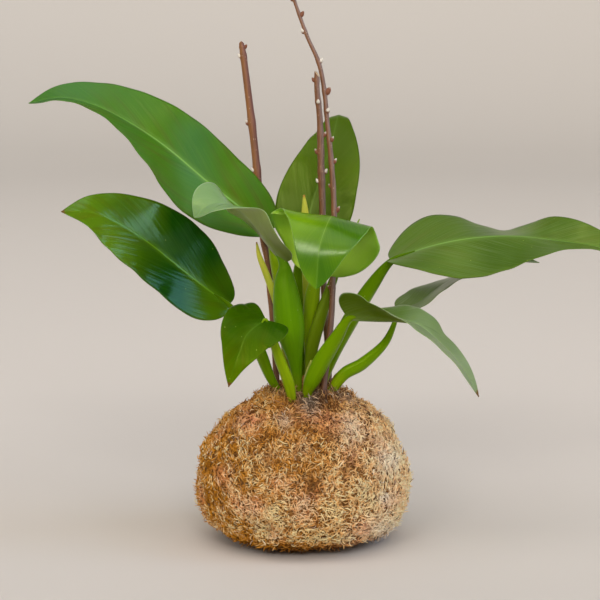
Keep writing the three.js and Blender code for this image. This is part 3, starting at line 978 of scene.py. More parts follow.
@dataclass
class Leaf:
    """One leaf: a stalk from the crown, and a blade round its midrib, as the solids have them.

    Lengths are in millimetres, folds in degrees, and the lists run from base to tip. Its colour
    is patchy by patchiness, and light and shade are painted over that: lighter on the right,
    towards the tip counted from a share of the way, and at its base, by the last four fields.
    """

    name: str
    finish: BladeFinish
    stalk_finish: StalkFinish
    stalk: Rows
    girth: Row
    back: Row
    rib: Rows
    up: Rows
    half: float
    peak: float
    tip: float
    lobe: float
    left: Row
    right: Row
    fold_left: Row
    fold_right: Row
    marks_seed: int = 0
    patchiness: float = 0.8
    # Painted light and shade, as light fell on the leaf: lighter on the right, towards the tip from a share
    # of the way, and at the base
    painted_light_side: float = 0.0
    painted_light_tip: float = 0.0
    painted_light_from: float = 0.5
    painted_light_base: float = 0.0

    def outline(self, u: Array) -> Array:
        """The share of the half-width at u: a round base, widest at the peak, a pointed tip."""
        rise = (self.tip * self.peak) / (1 - self.peak)
        return (u / self.peak) ** rise * ((1 - u) / (1 - self.peak)) ** self.tip

    def middle(self, u: Array, v: Array) -> tuple[Array, Array, Array]:
        """The blade's middle surface.

        A point lies |v| times the half-width out from the midrib at u, raised by that half's
        fold, and its place along the midrib is drawn back by lobe |v|^1.6 outline (1 - u)^3.

        Args:
            u: the share along the midrib.
            v: the share across, -1 left to 1 right.

        Returns:
            The points, how far each is across, and how far along, in millimetres.
        """
        reach = np.abs(v)
        shape = self.outline(u)
        wide = np.maximum(shape, BLADE.blunt_share)
        draw = self.lobe * reach**BLADE.lobe_curve * wide * (1 - u) ** BLADE.lobe_fade
        point, _, up, right = frames(self.rib, self.up, u - draw)
        share = np.where(v < 0, along(self.left, u), along(self.right, u))
        fold = np.radians(np.where(v < 0, along(self.fold_left, u), along(self.fold_right, u)))
        out = reach * np.maximum(self.half * shape * share, BLADE.blunt)
        aside = np.sign(v) * out * np.cos(fold)
        point = point + right * aside[..., None] + up * (out * np.sin(fold))[..., None]
        return point, np.sign(v) * out, (u - draw) * length_of(self.rib)

    def blade_skin(self) -> Skin:
        """The closed blade: the middle surface with its thickness, groove, rib and ripples.

        The rib under it and the groove over it fall off as exp(-(distance / width)^2) from the
        midrib and grow fainter to the tip; ripples grow with the square of the way out, and the
        thickness falls by the sixth power of it at the margin. The tone is a soft cloud, with
        painted light and shade added from side to side, towards the tip and at the base.

        Returns:
            The blade's skin.
        """
        u = (1 - np.cos(np.linspace(0, np.pi, BLADE.rows + 1))) / 2
        v = np.linspace(-1, 1, 2 * BLADE.columns + 1)
        u, v = np.meshgrid(u, v, indexing="ij")
        middle, across, far = self.middle(u, v)
        lengthways = np.gradient(middle, axis=0)
        crossways = np.gradient(middle, axis=1)
        normal = unit(np.cross(crossways, lengthways))
        away = np.abs(across)
        shift = BLADE.ripple_shift * np.sign(v) + self.marks_seed
        wave = np.sin(2 * np.pi * far / BLADE.ripple_length + shift)
        fade = np.sin(np.pi * u) * v**2
        ripple = BLADE.ripple * wave * fade
        groove = BLADE.groove_depth * (1 - u) * np.exp(-((away / BLADE.groove_width) ** 2))
        rib = BLADE.rib_height * (1 - u) * np.exp(-((away / BLADE.rib_width) ** 2))
        half_thick = BLADE.thick / 2 * (1 - BLADE.thinning * np.abs(v) ** BLADE.margin_power)
        upper = middle + normal * (ripple + half_thick - groove)[..., None]
        lower = middle + normal * (ripple - half_thick - rib)[..., None]
        vein = far - BLADE.vein_lean * away - BLADE.vein_bend * away**2
        tone = self.patchiness * cloud(middle, BLADE.tone_size, self.marks_seed)
        # Painted light and shade: lighter on one side, towards the tip and at the base
        tone = tone + self.painted_light_side * np.sign(v) * np.sqrt(np.abs(v))
        tone = tone + self.painted_light_tip * (u - self.painted_light_from)
        tone = tone + self.painted_light_base * smooth(*BLADE.painted_light_base_band, u)
        place = np.stack([u, np.abs(v), tone], -1)
        upper_marks = {"blade": np.stack([across, vein, np.zeros_like(u)], -1), "place": place}
        lower_marks = {"blade": np.stack([across, vein, np.ones_like(u)], -1), "place": place}
        return sheet_skin(upper, lower, upper_marks, lower_marks)

    def stalk_skin(self) -> Skin:
        """The stalk as a closed tube, carried on into the base of the midrib.

        Returns:
            The stalk's skin.
        """
        into = along(self.rib, np.array([RIB_END]))[0]
        path = (*self.stalk, tuple(into))
        girth = (*self.girth, RIB_END_GIRTH)
        shares = np.linspace(0, 1, LEAF_STALK.rings)
        rings, marks = stem_rings(path, girth, self.back, LEAF_STALK, shares)
        return tube_skin(rings, marks, finish=1, head_finish=1)

    def build(self) -> bpy.types.Object:
        """Makes the leaf's piece in place of its solid.

        Returns:
            The piece.
        """
        materials = [self.finish.material(), self.stalk_finish.material()]
        skins = [self.blade_skin(), self.stalk_skin()]
        return make_piece(self.name + "_green", skins, materials, (self.name,))


@dataclass
class YoungLeaf:
    """A young leaf still rolled up, as a pointed spear."""

    name: str
    finish: StalkFinish
    stalk: Rows
    girth: Row
    back: Row
    seam_depth: float = 0.18
    seam_start: float = 1.5
    seam_turn: float = 2.2
    seam_power: int = 4
    seam_band: Row = (0.3, 0.5)

    def build(self) -> bpy.types.Object:
        """Makes the spear in place of its solid, with the roll's seam wound along it.

        The seam is a shallow groove that winds a third of the way round the spear. Its depth
        falls off with the fourth power of the cosine of the angle away from it.

        Returns:
            The piece.
        """
        shares = np.linspace(0, 1, ROLLED_LEAF.rings)
        rings, marks = stem_rings(self.stalk, self.girth, self.back, ROLLED_LEAF, shares)
        angle = np.linspace(0, 2 * np.pi, ROLLED_LEAF.sides, endpoint=False)
        turn = self.seam_start + self.seam_turn * shares[:, None]
        depth = self.seam_depth * smooth(*self.seam_band, shares)[:, None]
        groove = np.maximum(np.cos(angle - turn), 0) ** self.seam_power * depth
        heart = rings.mean(axis=1, keepdims=True)
        rings = heart + (rings - heart) * (1 - groove)[..., None]
        skins = [tube_skin(rings, marks)]
        materials = [self.finish.material()]
        return make_piece(self.name + "_rolled", skins, materials, (self.name,))


# Twigs


@dataclass
class Twig:
    """A cut twig with its buds.

    Each bud is the share of the way up, the side in degrees (0 right, 90 back, 180 left) and its
    length. A slanted cut is a point and the direction that the cut looks.
    """

    name: str
    bark: BarkFinish
    bud: BudFinish
    cut_wood: MatFinish
    stalk: Rows
    girth: Row
    buds: Rows
    cut_point: Row = ()
    cut_lean: Row = ()
    knot: float = 0.16
    knot_width: float = 0.012
    bud_narrow: float = 0.66
    bud_lean: float = 0.6
    bud_growth: float = 1.5
    bud_span: Row = (0.04, 0.985)
    bud_low: float = 0.75
    bud_full: float = 0.8
    bud_out: float = 0.1
    bud_middle: float = 0.45
    bud_stretch: float = 1.1
    bud_silver: Row = (-0.15, 0.6)
    dome: float = 0.0
    dome_end: float = 0.98
    cut_spare: float = 2.5
    bud_rings: int = 11
    bud_sides: int = 10
    cut_steps: int = 401

    def stem_skin(self) -> Skin:
        """The twig's tube, thicker by a soft knot at each bud, cut on its slant where it has one.

        A knot adds its share of the girth times exp(-((t - bud) / width)^2). Points beyond the
        cut are drawn back along the twig onto the cut's plane. A dome's rings shrink as the root
        of 1 - w^2 over its share w of the twig.

        Returns:
            The twig's skin, without its buds.
        """
        shares = np.linspace(0, 1, ROUND_TWIG.rings)
        if self.cut_point:
            shares = shares[shares < self.cut_share() + self.cut_spare / ROUND_TWIG.rings]
        rings, marks = stem_rings(self.stalk, self.girth, (0, 1, 0), ROUND_TWIG, shares)
        heart = along(self.stalk, shares)[:, None]
        swell = np.zeros_like(shares)
        for share, _, _ in self.buds:
            swell += self.knot * np.exp(-(((shares - share) / self.knot_width) ** 2))
        rings = heart + (rings - heart) * (1 + swell)[:, None, None]
        if self.dome:
            beyond = np.clip((shares - 1 + self.dome) / self.dome, 0, self.dome_end)
            rings = heart + (rings - heart) * np.sqrt(1 - beyond**2)[:, None, None]
        if self.cut_point:
            lean = unit(np.asarray(self.cut_lean, float))
            ahead = heading(self.stalk, shares)[:, None]
            beyond = np.maximum((rings - np.asarray(self.cut_point)) @ lean, 0)
            rings = rings - ahead * (beyond / (ahead @ lean))[..., None]
        return tube_skin(rings, marks, head_finish=2)

    def cut_share(self) -> float:
        """The share of the way up at which the slanted cut crosses the twig's middle.

        Returns:
            The first of many even shares whose point lies beyond the cut.
        """
        shares = np.linspace(0, 1, self.cut_steps)
        lean = unit(np.asarray(self.cut_lean, float))
        beyond = (along(self.stalk, shares) - np.asarray(self.cut_point)) @ lean
        return float(shares[np.argmax(beyond > 0)])

    def bud_skin(self, share: float, side: float, size: float, white: float) -> Skin:
        """A bud: an egg with a pointed tip, its foot in the bark, pointing up and out.

        Its radius is the 0.8th power of sin(pi w^0.75) at the share w of its length.

        Args:
            share: how far up the twig.
            side: which way it looks, in degrees.
            size: its length.
            white: how much of it is silvery, 0 to 1.

        Returns:
            The bud's skin.
        """
        spot = along(self.stalk, np.array([share]))[0]
        turn = np.radians(side)
        out = np.array([np.cos(turn), np.sin(turn), 0.0])
        axis = unit(out * self.bud_lean + np.array([0.0, 0.0, 1.0]))
        beside = unit(np.cross(axis, np.array([-out[1], out[0], 0.0])))
        across = np.cross(axis, beside)
        grown = np.linspace(*self.bud_span, self.bud_rings)
        radius = self.bud_narrow * size / 2 * np.sin(np.pi * grown**self.bud_low) ** self.bud_full
        middle = spot + out * (along(self.girth, np.array([share]))[0] + self.bud_out * size)
        heights = (grown - self.bud_middle) * size * self.bud_stretch
        angle = np.linspace(0, 2 * np.pi, self.bud_sides, endpoint=False)
        ring = np.cos(angle)[:, None] * across + np.sin(angle)[:, None] * beside
        rings = middle + axis * heights[:, None, None] + radius[:, None, None] * ring
        grown = np.broadcast_to(grown[:, None], rings.shape[:2])
        marks = {"growth": np.stack([grown, np.full_like(grown, white), np.zeros_like(grown)], -1)}
        return tube_skin(rings, marks, finish=1, head_finish=1)

    def build(self) -> bpy.types.Object:
        """Makes the twig's piece in place of its solid.

        Returns:
            The piece.
        """
        count = len(self.buds)
        white = np.random.default_rng(count).uniform(*self.bud_silver, count)
        grown = [(share, side, size * self.bud_growth) for share, side, size in self.buds]
        skins = [self.stem_skin(), *(self.bud_skin(*bud, fur) for bud, fur in zip(grown, white))]
        materials = [self.bark.material(), self.bud.material(), self.cut_wood.material()]
        return make_piece(self.name + "_bark", skins, materials, (self.name,))


# The moss ball


@dataclass(frozen=True)
class Patch:
    """A round patch on the ball's front: its middle across and up, its radius and strength."""

    across: float
    height: float
    radius: float
    strength: float


@dataclass(frozen=True)
class Tangle:
    """A kind of strand: how many there are, from where to where up the ball, and their form.

    Length, radius, rise and wild lift are in millimetres. Wild is the share of strands whose
    tips stand off the ball, and tone makes them lighter.
    """

    name: str
    count: int
    low: float = 0.0
    high: float = 1.0
    length: float = 4.4
    radius: float = 0.33
    curl: float = 1.1
    rise: float = 1.1
    wild: float = 0.12
    wild_lift: float = 2.0
    tone: float = 0.0


@dataclass(frozen=True)
class StrandForm:
    """How strands lie, bend and thin out, alike in every tangle.

    Sizes and depths are in millimetres. Ranges are the ends of an even chance, and the way is
    where a strand's three rings and its tip stand along it.
    """

    swirl: float = 2.4
    swirl_size: float = 14.0
    scatter: float = 0.5
    length_chance: float = 0.32
    length_range: Row = (0.45, 1.9)
    wild_length: float = 0.75
    rise_range: Row = (0.4, 1.6)
    wild_range: Row = (0.3, 1.2)
    tip_range: Row = (-0.9, 1.2)
    clump: float = 0.9
    clump_size: float = 3.4
    gap_size: float = 2.7
    gap_band: Row = (0.35, 0.7)
    depth_range: Row = (0.1, 0.9)
    hollow_depth: float = 1.2
    hollow_loss: float = 0.85
    way: Row = (0, 0.36, 0.7, 1.0)
    start: float = 0.4
    radius_range: Row = (0.6, 1.4)
    taper: Row = (0.8, 1.0, 0.75)
    corners: Row = (90, 210, 330)
    foot_radius: float = 3.0
    floor_gap: float = 0.15
    stem_gap: float = 0.1
    stem_from: float = 88.0
    stem_to: float = 130.0
    stem_share: float = 0.6
    stem_steps: int = 60


@dataclass(frozen=True)
class StrandTones:
    """How light, pink, pale or golden a strand is by the place of its root.

    A cloud is its size in millimetres, the step of its seed and how much it adds. A slope is
    painted light and shade: the axis, 0 across or 2 up, where it starts and ends, in
    millimetres, and how much it adds; the slopes darken the left and the crown, lighten the ball
    low down, and darken the foot as a painted shadow where the ball meets the floor. Pink and
    pale are the strength of their patches, a cloud's size, seed and band, and what it adds, and
    pale also grows to the right, as painted light, and on a few odd strands.
    """

    tone: float = 0.6
    clouds: Rows = ((13.0, 5, 0.2), (4.0, 6, 0.3))
    # Painted light on clumps of strands that stand out
    raised: float = 0.25
    chance: float = 0.28
    # Painted shade in gaps and hollows
    hollow: float = 0.5
    dent: float = 0.6
    dead: float = 1.3
    dead_share: float = 0.05
    # Painted light and shade by slopes: darker on the left and at the crown, lighter low on the ball, and a
    # painted shadow at the foot
    painted_light_slopes: Rows = ((0, -25, -75, -0.35), (2, 84, 106, -0.3), (2, 64, 40, 0.25), (2, 18, 6, -1.2))
    # Painted shade in the shade patches
    patch_shade: float = 0.5
    lowest: Row = (-0.5, 0, 0)
    pink: Row = (0.6, 19.0, 7, 0.2, 0.9, 0.35)
    pale: Row = (0.75, 15.0, 8, 0.2, 0.8, 0.2)
    # Painted light: paler towards the right
    painted_light_right: float = 0.24
    painted_light_right_band: Row = (0, 70)
    pale_odd: float = 0.5
    odd_band: Row = (0.95, 1)
    gold: float = 0.85
    gold_left: Row = (55, -60)
    gold_tones: Row = (0.4, 1)
    gold_crown: Row = (70, 100)
    gold_lost: float = 0.5


STRAND = StrandForm()
TONES = StrandTones()


@dataclass
class MossBall:
    """The ball of dry moss: a lumpy mat turned from a profile, covered in curled strands."""

    profile: Rows = (
        (30, 0), (46, 3), (60, 8), (68, 17), (72.5, 28), (74, 40), (72, 55), (65, 73), (51, 91),
        (33, 102), (15, 109), (0, 112),
    )
    lump: float = 1.6
    lumps: Rows = (
        (1.0, 3, 0.05, 1.0, 0, 0.09, 0.5 + np.pi / 2),
        (0.6, 7, -0.11, 0.0, 2, 0.13, 0.0),
        (0.45, 13, 0.0, 2.0, 1, 0.31, 0.0),
    )
    lumps_from: float = 0.12
    lumps_to: float = 0.8
    foot_inset: float = 3.2
    foot_band: Row = (0.0, 0.05)
    inset_end: Row = (0.1, 0.32)
    sink: float = 0.9
    crumb_height: float = 0.45
    crumb_size: float = 3.0
    fine_crumb_size: float = 1.5
    fine_crumbs: float = 0.6
    dent: float = 2.2
    raised_to: float = 0.06
    rows: int = 110
    turns: int = 220
    profile_steps: int = 601
    spread_steps: int = 500
    tangles: tuple[Tangle, ...] = (
        Tangle("moss_strands_1", 10500, radius=0.35),
        Tangle("moss_strands_2", 10500, radius=0.38, curl=1.5),
        Tangle("moss_strands_3", 10500, length=5.2, radius=0.4, wild=0.25),
        Tangle("moss_tufts", 8500, length=5.2, radius=0.42, wild=0.6, wild_lift=4.2, tone=0.1),
        Tangle("crown_fibres", 1500, low=0.8, high=0.99, length=8.0, radius=0.36, curl=1.2, rise=2.6,
               wild=0.75, wild_lift=6.0, tone=-0.1),
    )
    seed: int = 31
    hollows: tuple[Patch, ...] = (
        Patch(5.6, 52.7, 5.0, 1.0),
        Patch(27.3, 42.8, 2.6, 1.0),
        Patch(64.4, 42.4, 2.0, 0.8),
        Patch(32, 66.7, 5.5, 0.5),
        Patch(9.8, 29.9, 4.0, 0.45),
        Patch(-39, 16.6, 5.0, 0.5),
        Patch(18, 83.4, 3.0, 0.5),
        Patch(-27, 84.4, 5.0, 0.35),
    )
    # Patches of painted shade: under the leaves at the crown, and on the lower left
    shade_patches: tuple[Patch, ...] = (
        Patch(10, 98, 24, 1.0),
        Patch(-62, 30, 16, 0.4),
    )
    pinks: tuple[Patch, ...] = (
        Patch(-33.6, 38.8, 8, 0.8),
        Patch(40.6, 22.3, 9, 0.9),
        Patch(-37.8, 91.6, 8, 0.7),
        Patch(60, 37, 7, 0.6),
        Patch(30, 74, 8, 0.4),
    )
    pales: tuple[Patch, ...] = (
        Patch(57.4, 64.2, 8, 0.7),
        Patch(54.6, 42.4, 4, 0.9),
        Patch(53.2, 17.6, 9, 0.6),
        Patch(4.2, 103.5, 6.5, 0.9),
        Patch(-13.3, 93.3, 5, 0.4),
        Patch(32, 85.8, 8, 0.6),
    )
    stems: list[tuple[Rows, Row]] = field(default_factory=list)

    def surface(self, share: Array, angle: Array) -> tuple[Array, Array, Array]:
        """The lumpy surface at a share of the profile's length and an angle round the ball.

        The profile is turned about the upright axis, and moved out along its normal by lumps,
        faded at foot and top. They are the sum of three products of two sines, and a row of
        lumps gives the size of one, and for each sine its waves round the ball, its waves by
        the height and its start. Near the foot the surface is drawn in, because the strands
        there stand off it.

        Args:
            share: 0 at the flat spot's edge to 1 at the top.
            angle: round the ball.

        Returns:
            Points, outward normals, and the direction up the profile.
        """
        flat = tuple((r, 0.0, z) for r, z in self.profile)
        fine = np.linspace(0, 1, self.profile_steps)
        line = along(flat, fine)
        steps = np.concatenate([[0], np.cumsum(np.linalg.norm(np.diff(line, axis=0), axis=1))])
        place = np.interp(share, steps / steps[-1], fine)
        spot = along(flat, place)
        slope = heading(flat, place)
        fade = smooth(0, self.lumps_from, share) * (1 - smooth(self.lumps_to, 1, share))
        height = spot[..., 2]
        swell = np.zeros(height.shape)
        for size, around, climb, start, cross_around, cross_climb, cross_start in self.lumps:
            first = np.sin(around * angle + climb * height + start)
            second = np.sin(cross_around * angle + cross_climb * height + cross_start)
            swell = swell + size * first * second
        out = self.lump * fade * swell
        inset = smooth(*self.foot_band, share) * (1 - smooth(*self.inset_end, share))
        out = out - self.foot_inset * inset
        radius = spot[..., 0] + slope[..., 2] * out
        height = height - slope[..., 0] * out
        cosine, sine = np.cos(angle), np.sin(angle)
        points = np.stack([radius * cosine, radius * sine, height], -1)
        normals = np.stack([slope[..., 2] * cosine, slope[..., 2] * sine, -slope[..., 0]], -1)
        upward = np.stack([slope[..., 0] * cosine, slope[..., 0] * sine, slope[..., 2]], -1)
        return points, unit(normals), unit(upward)

    def patchy(self, points: Array, patches: tuple[Patch, ...]) -> Array:
        """How strongly patches on the front cover points: strength exp(-(distance / radius)^2).

        Args:
            points: where, in millimetres.
            patches: the round patches; the strongest one counts at each point.

        Returns:
            A share for each point.
        """
        cover = np.zeros(points.shape[:-1])
        for patch in patches:
            away = np.hypot(points[..., 0] - patch.across, points[..., 2] - patch.height)
            near = patch.strength * np.exp(-((away / patch.radius) ** 2)) * (points[..., 1] < 0)
            cover = np.maximum(cover, near)
        return cover

    def mat_skin(self) -> Skin:
        """The closed lumpy mat under the strands, with crumbs and the ball's dark hollows in it.

        Crumbs are two clouds, a coarse and a fine one, and hollows dent the mat by their share.

        Returns:
            The mat's skin.
        """
        share = np.linspace(0, 1, self.rows + 1)[:-1]
        angle = np.linspace(0, 2 * np.pi, self.turns, endpoint=False)
        share, angle = np.meshgrid(share, angle, indexing="ij")
        points, normals, _ = self.surface(share, angle)
        coarse = cloud(points, self.crumb_size, self.seed)
        fine = cloud(points, self.fine_crumb_size, self.seed + 1)
        crumbs = self.crumb_height * (coarse + self.fine_crumbs * fine)
        dents = self.dent * self.patchy(points, self.hollows)
        raised = smooth(0, self.raised_to, share)
        move = (crumbs - dents) * raised - self.sink * raised
        points = points + normals * move[..., None]
        points[..., 2] = np.maximum(points[..., 2], 0)
        # Rings of a tube turn from right to upper side about the way ahead, so this one is turned
        rings = points[:, ::-1]
        skin = tube_skin(rings, {})
        skin.points[-1, 2] = self.profile[-1][1] - self.sink
        return skin

    def clear_of_stems(self, centres: Array) -> Array:
        """Which strands keep clear of every stem that rises from the ball.

        Args:
            centres: the middle points of each strand.

        Returns:
            True for each strand that stays more than the stem gap off every stem's girth.
        """
        clear = np.ones(len(centres), bool)
        near_top = centres[..., 2].max(axis=1) > STRAND.stem_from
        for path, girth in self.stems:
            shares = np.linspace(0, STRAND.stem_share, STRAND.stem_steps)
            line = along(path, shares)
            low = line[:, 2] < STRAND.stem_to
            line, wide = line[low], along(girth, shares)[low]
            gap = np.linalg.norm(centres[near_top][:, :, None] - line[None, None], axis=-1) - wide
            clear[near_top] &= gap.min(axis=(1, 2)) > STRAND.stem_gap
        return clear

    def tints(
        self, tangle: Tangle, root: Array, hollow: Array, clump: Array, random: np.random.Generator
    ) -> tuple[Array, Array]:
        """How light, pink, pale and golden strands are.

        The tone is a sum of clouds and chance, with light and shade painted in: lighter on clumps
        that stand out and low on the ball, darker in hollows and gaps, in the shade patches, on the
        left and at the crown, and darkest at the foot, a painted shadow where the ball meets the
        floor. Pink and pale are patches and clouds, pale grows to the right as painted light, and
        gold comes in towards the left where the tone is low, and less at the crown.

        Args:
            tangle: the kind of strand.
            root: where the strands start.
            hollow: how deep in a hollow they start.
            clump: how far their clump stands out.
            random: the tangle's random numbers.

        Returns:
            The tone, pink and pale of each strand, and how golden each is.
        """
        count = len(root)
        tone = np.full(count, TONES.tone + tangle.tone)
        for size, step, strength in TONES.clouds:
            tone += strength * cloud(root, size, self.seed + step)
        # Painted light on clumps that stand out, and painted shade in hollows and gaps
        tone += TONES.raised * clump + random.normal(0, TONES.chance, count)
        tone -= TONES.hollow * hollow + TONES.dent * self.patchy(root, self.hollows)
        tone -= TONES.dead * (random.uniform(0, 1, count) < TONES.dead_share)
        # Painted light and shade by slopes, with a painted shadow at the foot
        for axis, low, high, strength in TONES.painted_light_slopes:
            tone += strength * smooth(low, high, root[:, axis])
        # Painted shade in the shade patches
        tone -= TONES.patch_shade * self.patchy(root, self.shade_patches)
        washes = []
        for patches, (strength, size, step, low, high, added) in (
            (self.pinks, TONES.pink),
            (self.pales, TONES.pale),
        ):
            soft = smooth(low, high, cloud(root, size, self.seed + step))
            washes.append(strength * self.patchy(root, patches) + added * soft)
        pink, pale = washes
        # Painted light: paler towards the right
        pale += TONES.painted_light_right * smooth(*TONES.painted_light_right_band, root[:, 0])
        pale += TONES.pale_odd * smooth(*TONES.odd_band, random.uniform(0, 1, count))
        gold = TONES.gold * smooth(*TONES.gold_left, root[:, 0]) * (1 - smooth(*TONES.gold_tones, tone))
        gold *= 1 - TONES.gold_lost * smooth(*TONES.gold_crown, root[:, 2])
        return np.clip(np.stack([tone, pink, pale], -1), TONES.lowest, 1), gold

    def strand_skin(self, tangle: Tangle, number: int) -> Skin:
        """One tangle of strands.

        A strand starts in the mat, runs along it for its length while it bends to one side by
        the square of the way, rises as a sine and lifts its tip, and tapers to a point.

        Args:
            tangle: the kind of strand.
            number: which tangle it is, for its own random numbers.

        Returns:
            The strands as one skin.
        """
        random = np.random.default_rng(self.seed + 10 * number)
        count = tangle.count
        grid = np.linspace(tangle.low, tangle.high, self.spread_steps)
        ring, _, _ = self.surface(grid, np.zeros_like(grid))
        spread = np.cumsum(np.maximum(ring[:, 0], STRAND.foot_radius))
        share = np.interp(random.uniform(0, 1, count), spread / spread[-1], grid)
        angle = random.uniform(0, 2 * np.pi, count)
        root, normal, upward = self.surface(share, angle)
        around = np.cross(upward, normal)
        swirl = STRAND.swirl * cloud(root, STRAND.swirl_size, self.seed + 3)
        turn = random.uniform(0, 2 * np.pi, count) * STRAND.scatter + swirl
        ahead = np.cos(turn)[:, None] * around + np.sin(turn)[:, None] * upward
        right = np.cross(ahead, normal)

        chance = random.lognormal(0, STRAND.length_chance, count)
        length = tangle.length * np.clip(chance, *STRAND.length_range)
        wild = random.uniform(0, 1, count) < tangle.wild
        length = np.where(wild, STRAND.wild_length * length, length)
        curl = random.normal(0, tangle.curl, count)
        rise = tangle.rise * random.uniform(*STRAND.rise_range, count)
        wild_lift = np.where(wild, tangle.wild_lift * random.uniform(*STRAND.wild_range, count), 0)
        tip_lift = random.uniform(*STRAND.tip_range, count) + wild_lift
        clump = STRAND.clump * cloud(root, STRAND.clump_size, self.seed + 9)
        gap = smooth(*STRAND.gap_band, cloud(root, STRAND.gap_size, self.seed + 11))
        hollow = np.maximum(self.patchy(root, self.hollows), gap)
        depth = clump - random.uniform(*STRAND.depth_range, count) - STRAND.hollow_depth * hollow
        way = np.array(STRAND.way)
        lift = depth[:, None] + rise[:, None] * np.sin(np.pi * way) + tip_lift[:, None] * way**2
        forward = length[:, None] * (way - STRAND.start)
        aside = length[:, None] * curl[:, None] * ((way - 0.5) ** 2 - 0.25)
        centres = (
            root[:, None]
            + ahead[:, None] * forward[..., None]
            + right[:, None] * aside[..., None]
            + normal[:, None] * lift[..., None]
        )
        radius = tangle.radius * random.uniform(*STRAND.radius_range, count)
        low = centres[..., 2].min(axis=1) - radius - STRAND.floor_gap
        centres[..., 2] += np.maximum(-low, 0)[:, None]

        growing = random.uniform(0, 1, count) > hollow * STRAND.hollow_loss
        kept = self.clear_of_stems(centres) & growing
        corner = np.radians(STRAND.corners)
        offset = np.cos(corner)[:, None] * right[:, None] + np.sin(corner)[:, None] * normal[:, None]
        thick = radius[:, None] * np.array(STRAND.taper)
        rings = centres[:, :3, None] + thick[..., None, None] * offset[:, None]
        tuft, gold = self.tints(tangle, root, hollow, clump, random)
        return self.joined(rings[kept], centres[kept, 3], tuft[kept], lift[kept], gold[kept])

    def joined(self, rings: Array, tips: Array, tuft: Array, lift: Array, gold: Array) -> Skin:
        """Closes three-sided strands: a triangle at the foot, two bands of walls and a point.

        Args:
            rings: the corners of each strand's three rings.
            tips: the point at the end of each.
            tuft: the mark tuft of each.
            lift: how high each ring and the tip stand off the ball.
            gold: how golden each is.

        Returns:
            The strands as one skin.
        """
        count = len(rings)
        points = np.concatenate([rings.reshape(count, 9, 3), tips[:, None]], axis=1)
        side = np.arange(3)
        beside = (side + 1) % 3
        walls = np.concatenate(
            [np.stack([side + k, side + k + 3, beside + k + 3, beside + k], -1) for k in (0, 3)]
        )
        point = np.stack([side + 6, np.full(3, 9), beside + 6], -1)
        foot = np.array([[0, 1, 2]])
        starts = (np.arange(count) * 10)[:, None, None]
        faces = [
            (starts + walls).reshape(-1, 4),
            (starts + np.vstack([point, foot])).reshape(-1, 3),
        ]
        tufts = np.repeat(tuft, 10, axis=0)
        level = np.repeat(lift[:, :3], 3, axis=1)
        level = np.concatenate([level, lift[:, 3:]], axis=1)
        share = np.tile([*np.repeat(STRAND.way[:3], 3), STRAND.way[3]], count)
        lifts = np.stack([share, level.ravel(), np.repeat(gold, 10)], -1)
        return Skin(points.reshape(-1, 3), faces, [0, 0], {"tuft": tufts, "lift": lifts})

    def build(self) -> None:
        """Makes the mat in place of the moss's solid, and the tangles of strands over it."""
        mat = MatFinish("matted dry moss")
        make_piece("moss_mat", [self.mat_skin()], [mat.material()], ("moss_wrap",))
        strands = MossFinish("dry moss strands").material()
        for number, tangle in enumerate(self.tangles):
            make_piece(tangle.name, [self.strand_skin(tangle, number)], [strands])


# Dried scraps at the crown


@dataclass(frozen=True)
class Scrap:
    """A dried scrap of sheath or bark: a strip along a path, curled across.

    Width in millimetres at even steps, and curl in degrees over the whole width.
    """

    path: Rows
    side: Row
    width: Row
    curl: float
    thick: float = 0.3
    crinkle: float = 0.25
    crinkle_size: float = 2.5
    seed: int = 5
    rows: int = 19
    columns: int = 9

    def skin(self) -> Skin:
        """The closed strip: an arc of its width and curl, carried along the path and crinkled.

        Returns:
            The strip's skin.
        """
        u = np.linspace(0, 1, self.rows)
        v = np.linspace(-1, 1, self.columns)
        u, v = np.meshgrid(u, v, indexing="ij")
        point, _, up, right = frames(self.path, (self.side, self.side), u)
        radius = along(self.width, u) / np.radians(self.curl)
        bend = np.radians(self.curl) * v / 2
        aside = (radius * np.sin(bend))[..., None]
        drop = (radius * (np.cos(bend) - 1))[..., None]
        middle = point + right * aside + up * drop
        normal = unit(np.cross(np.gradient(middle, axis=1), np.gradient(middle, axis=0)))
        crinkle = self.crinkle * cloud(middle, self.crinkle_size, self.seed)[..., None]
        upper = middle + normal * (crinkle + self.thick / 2)
        lower = middle + normal * (crinkle - self.thick / 2)
        return sheet_skin(upper, lower, {}, {})


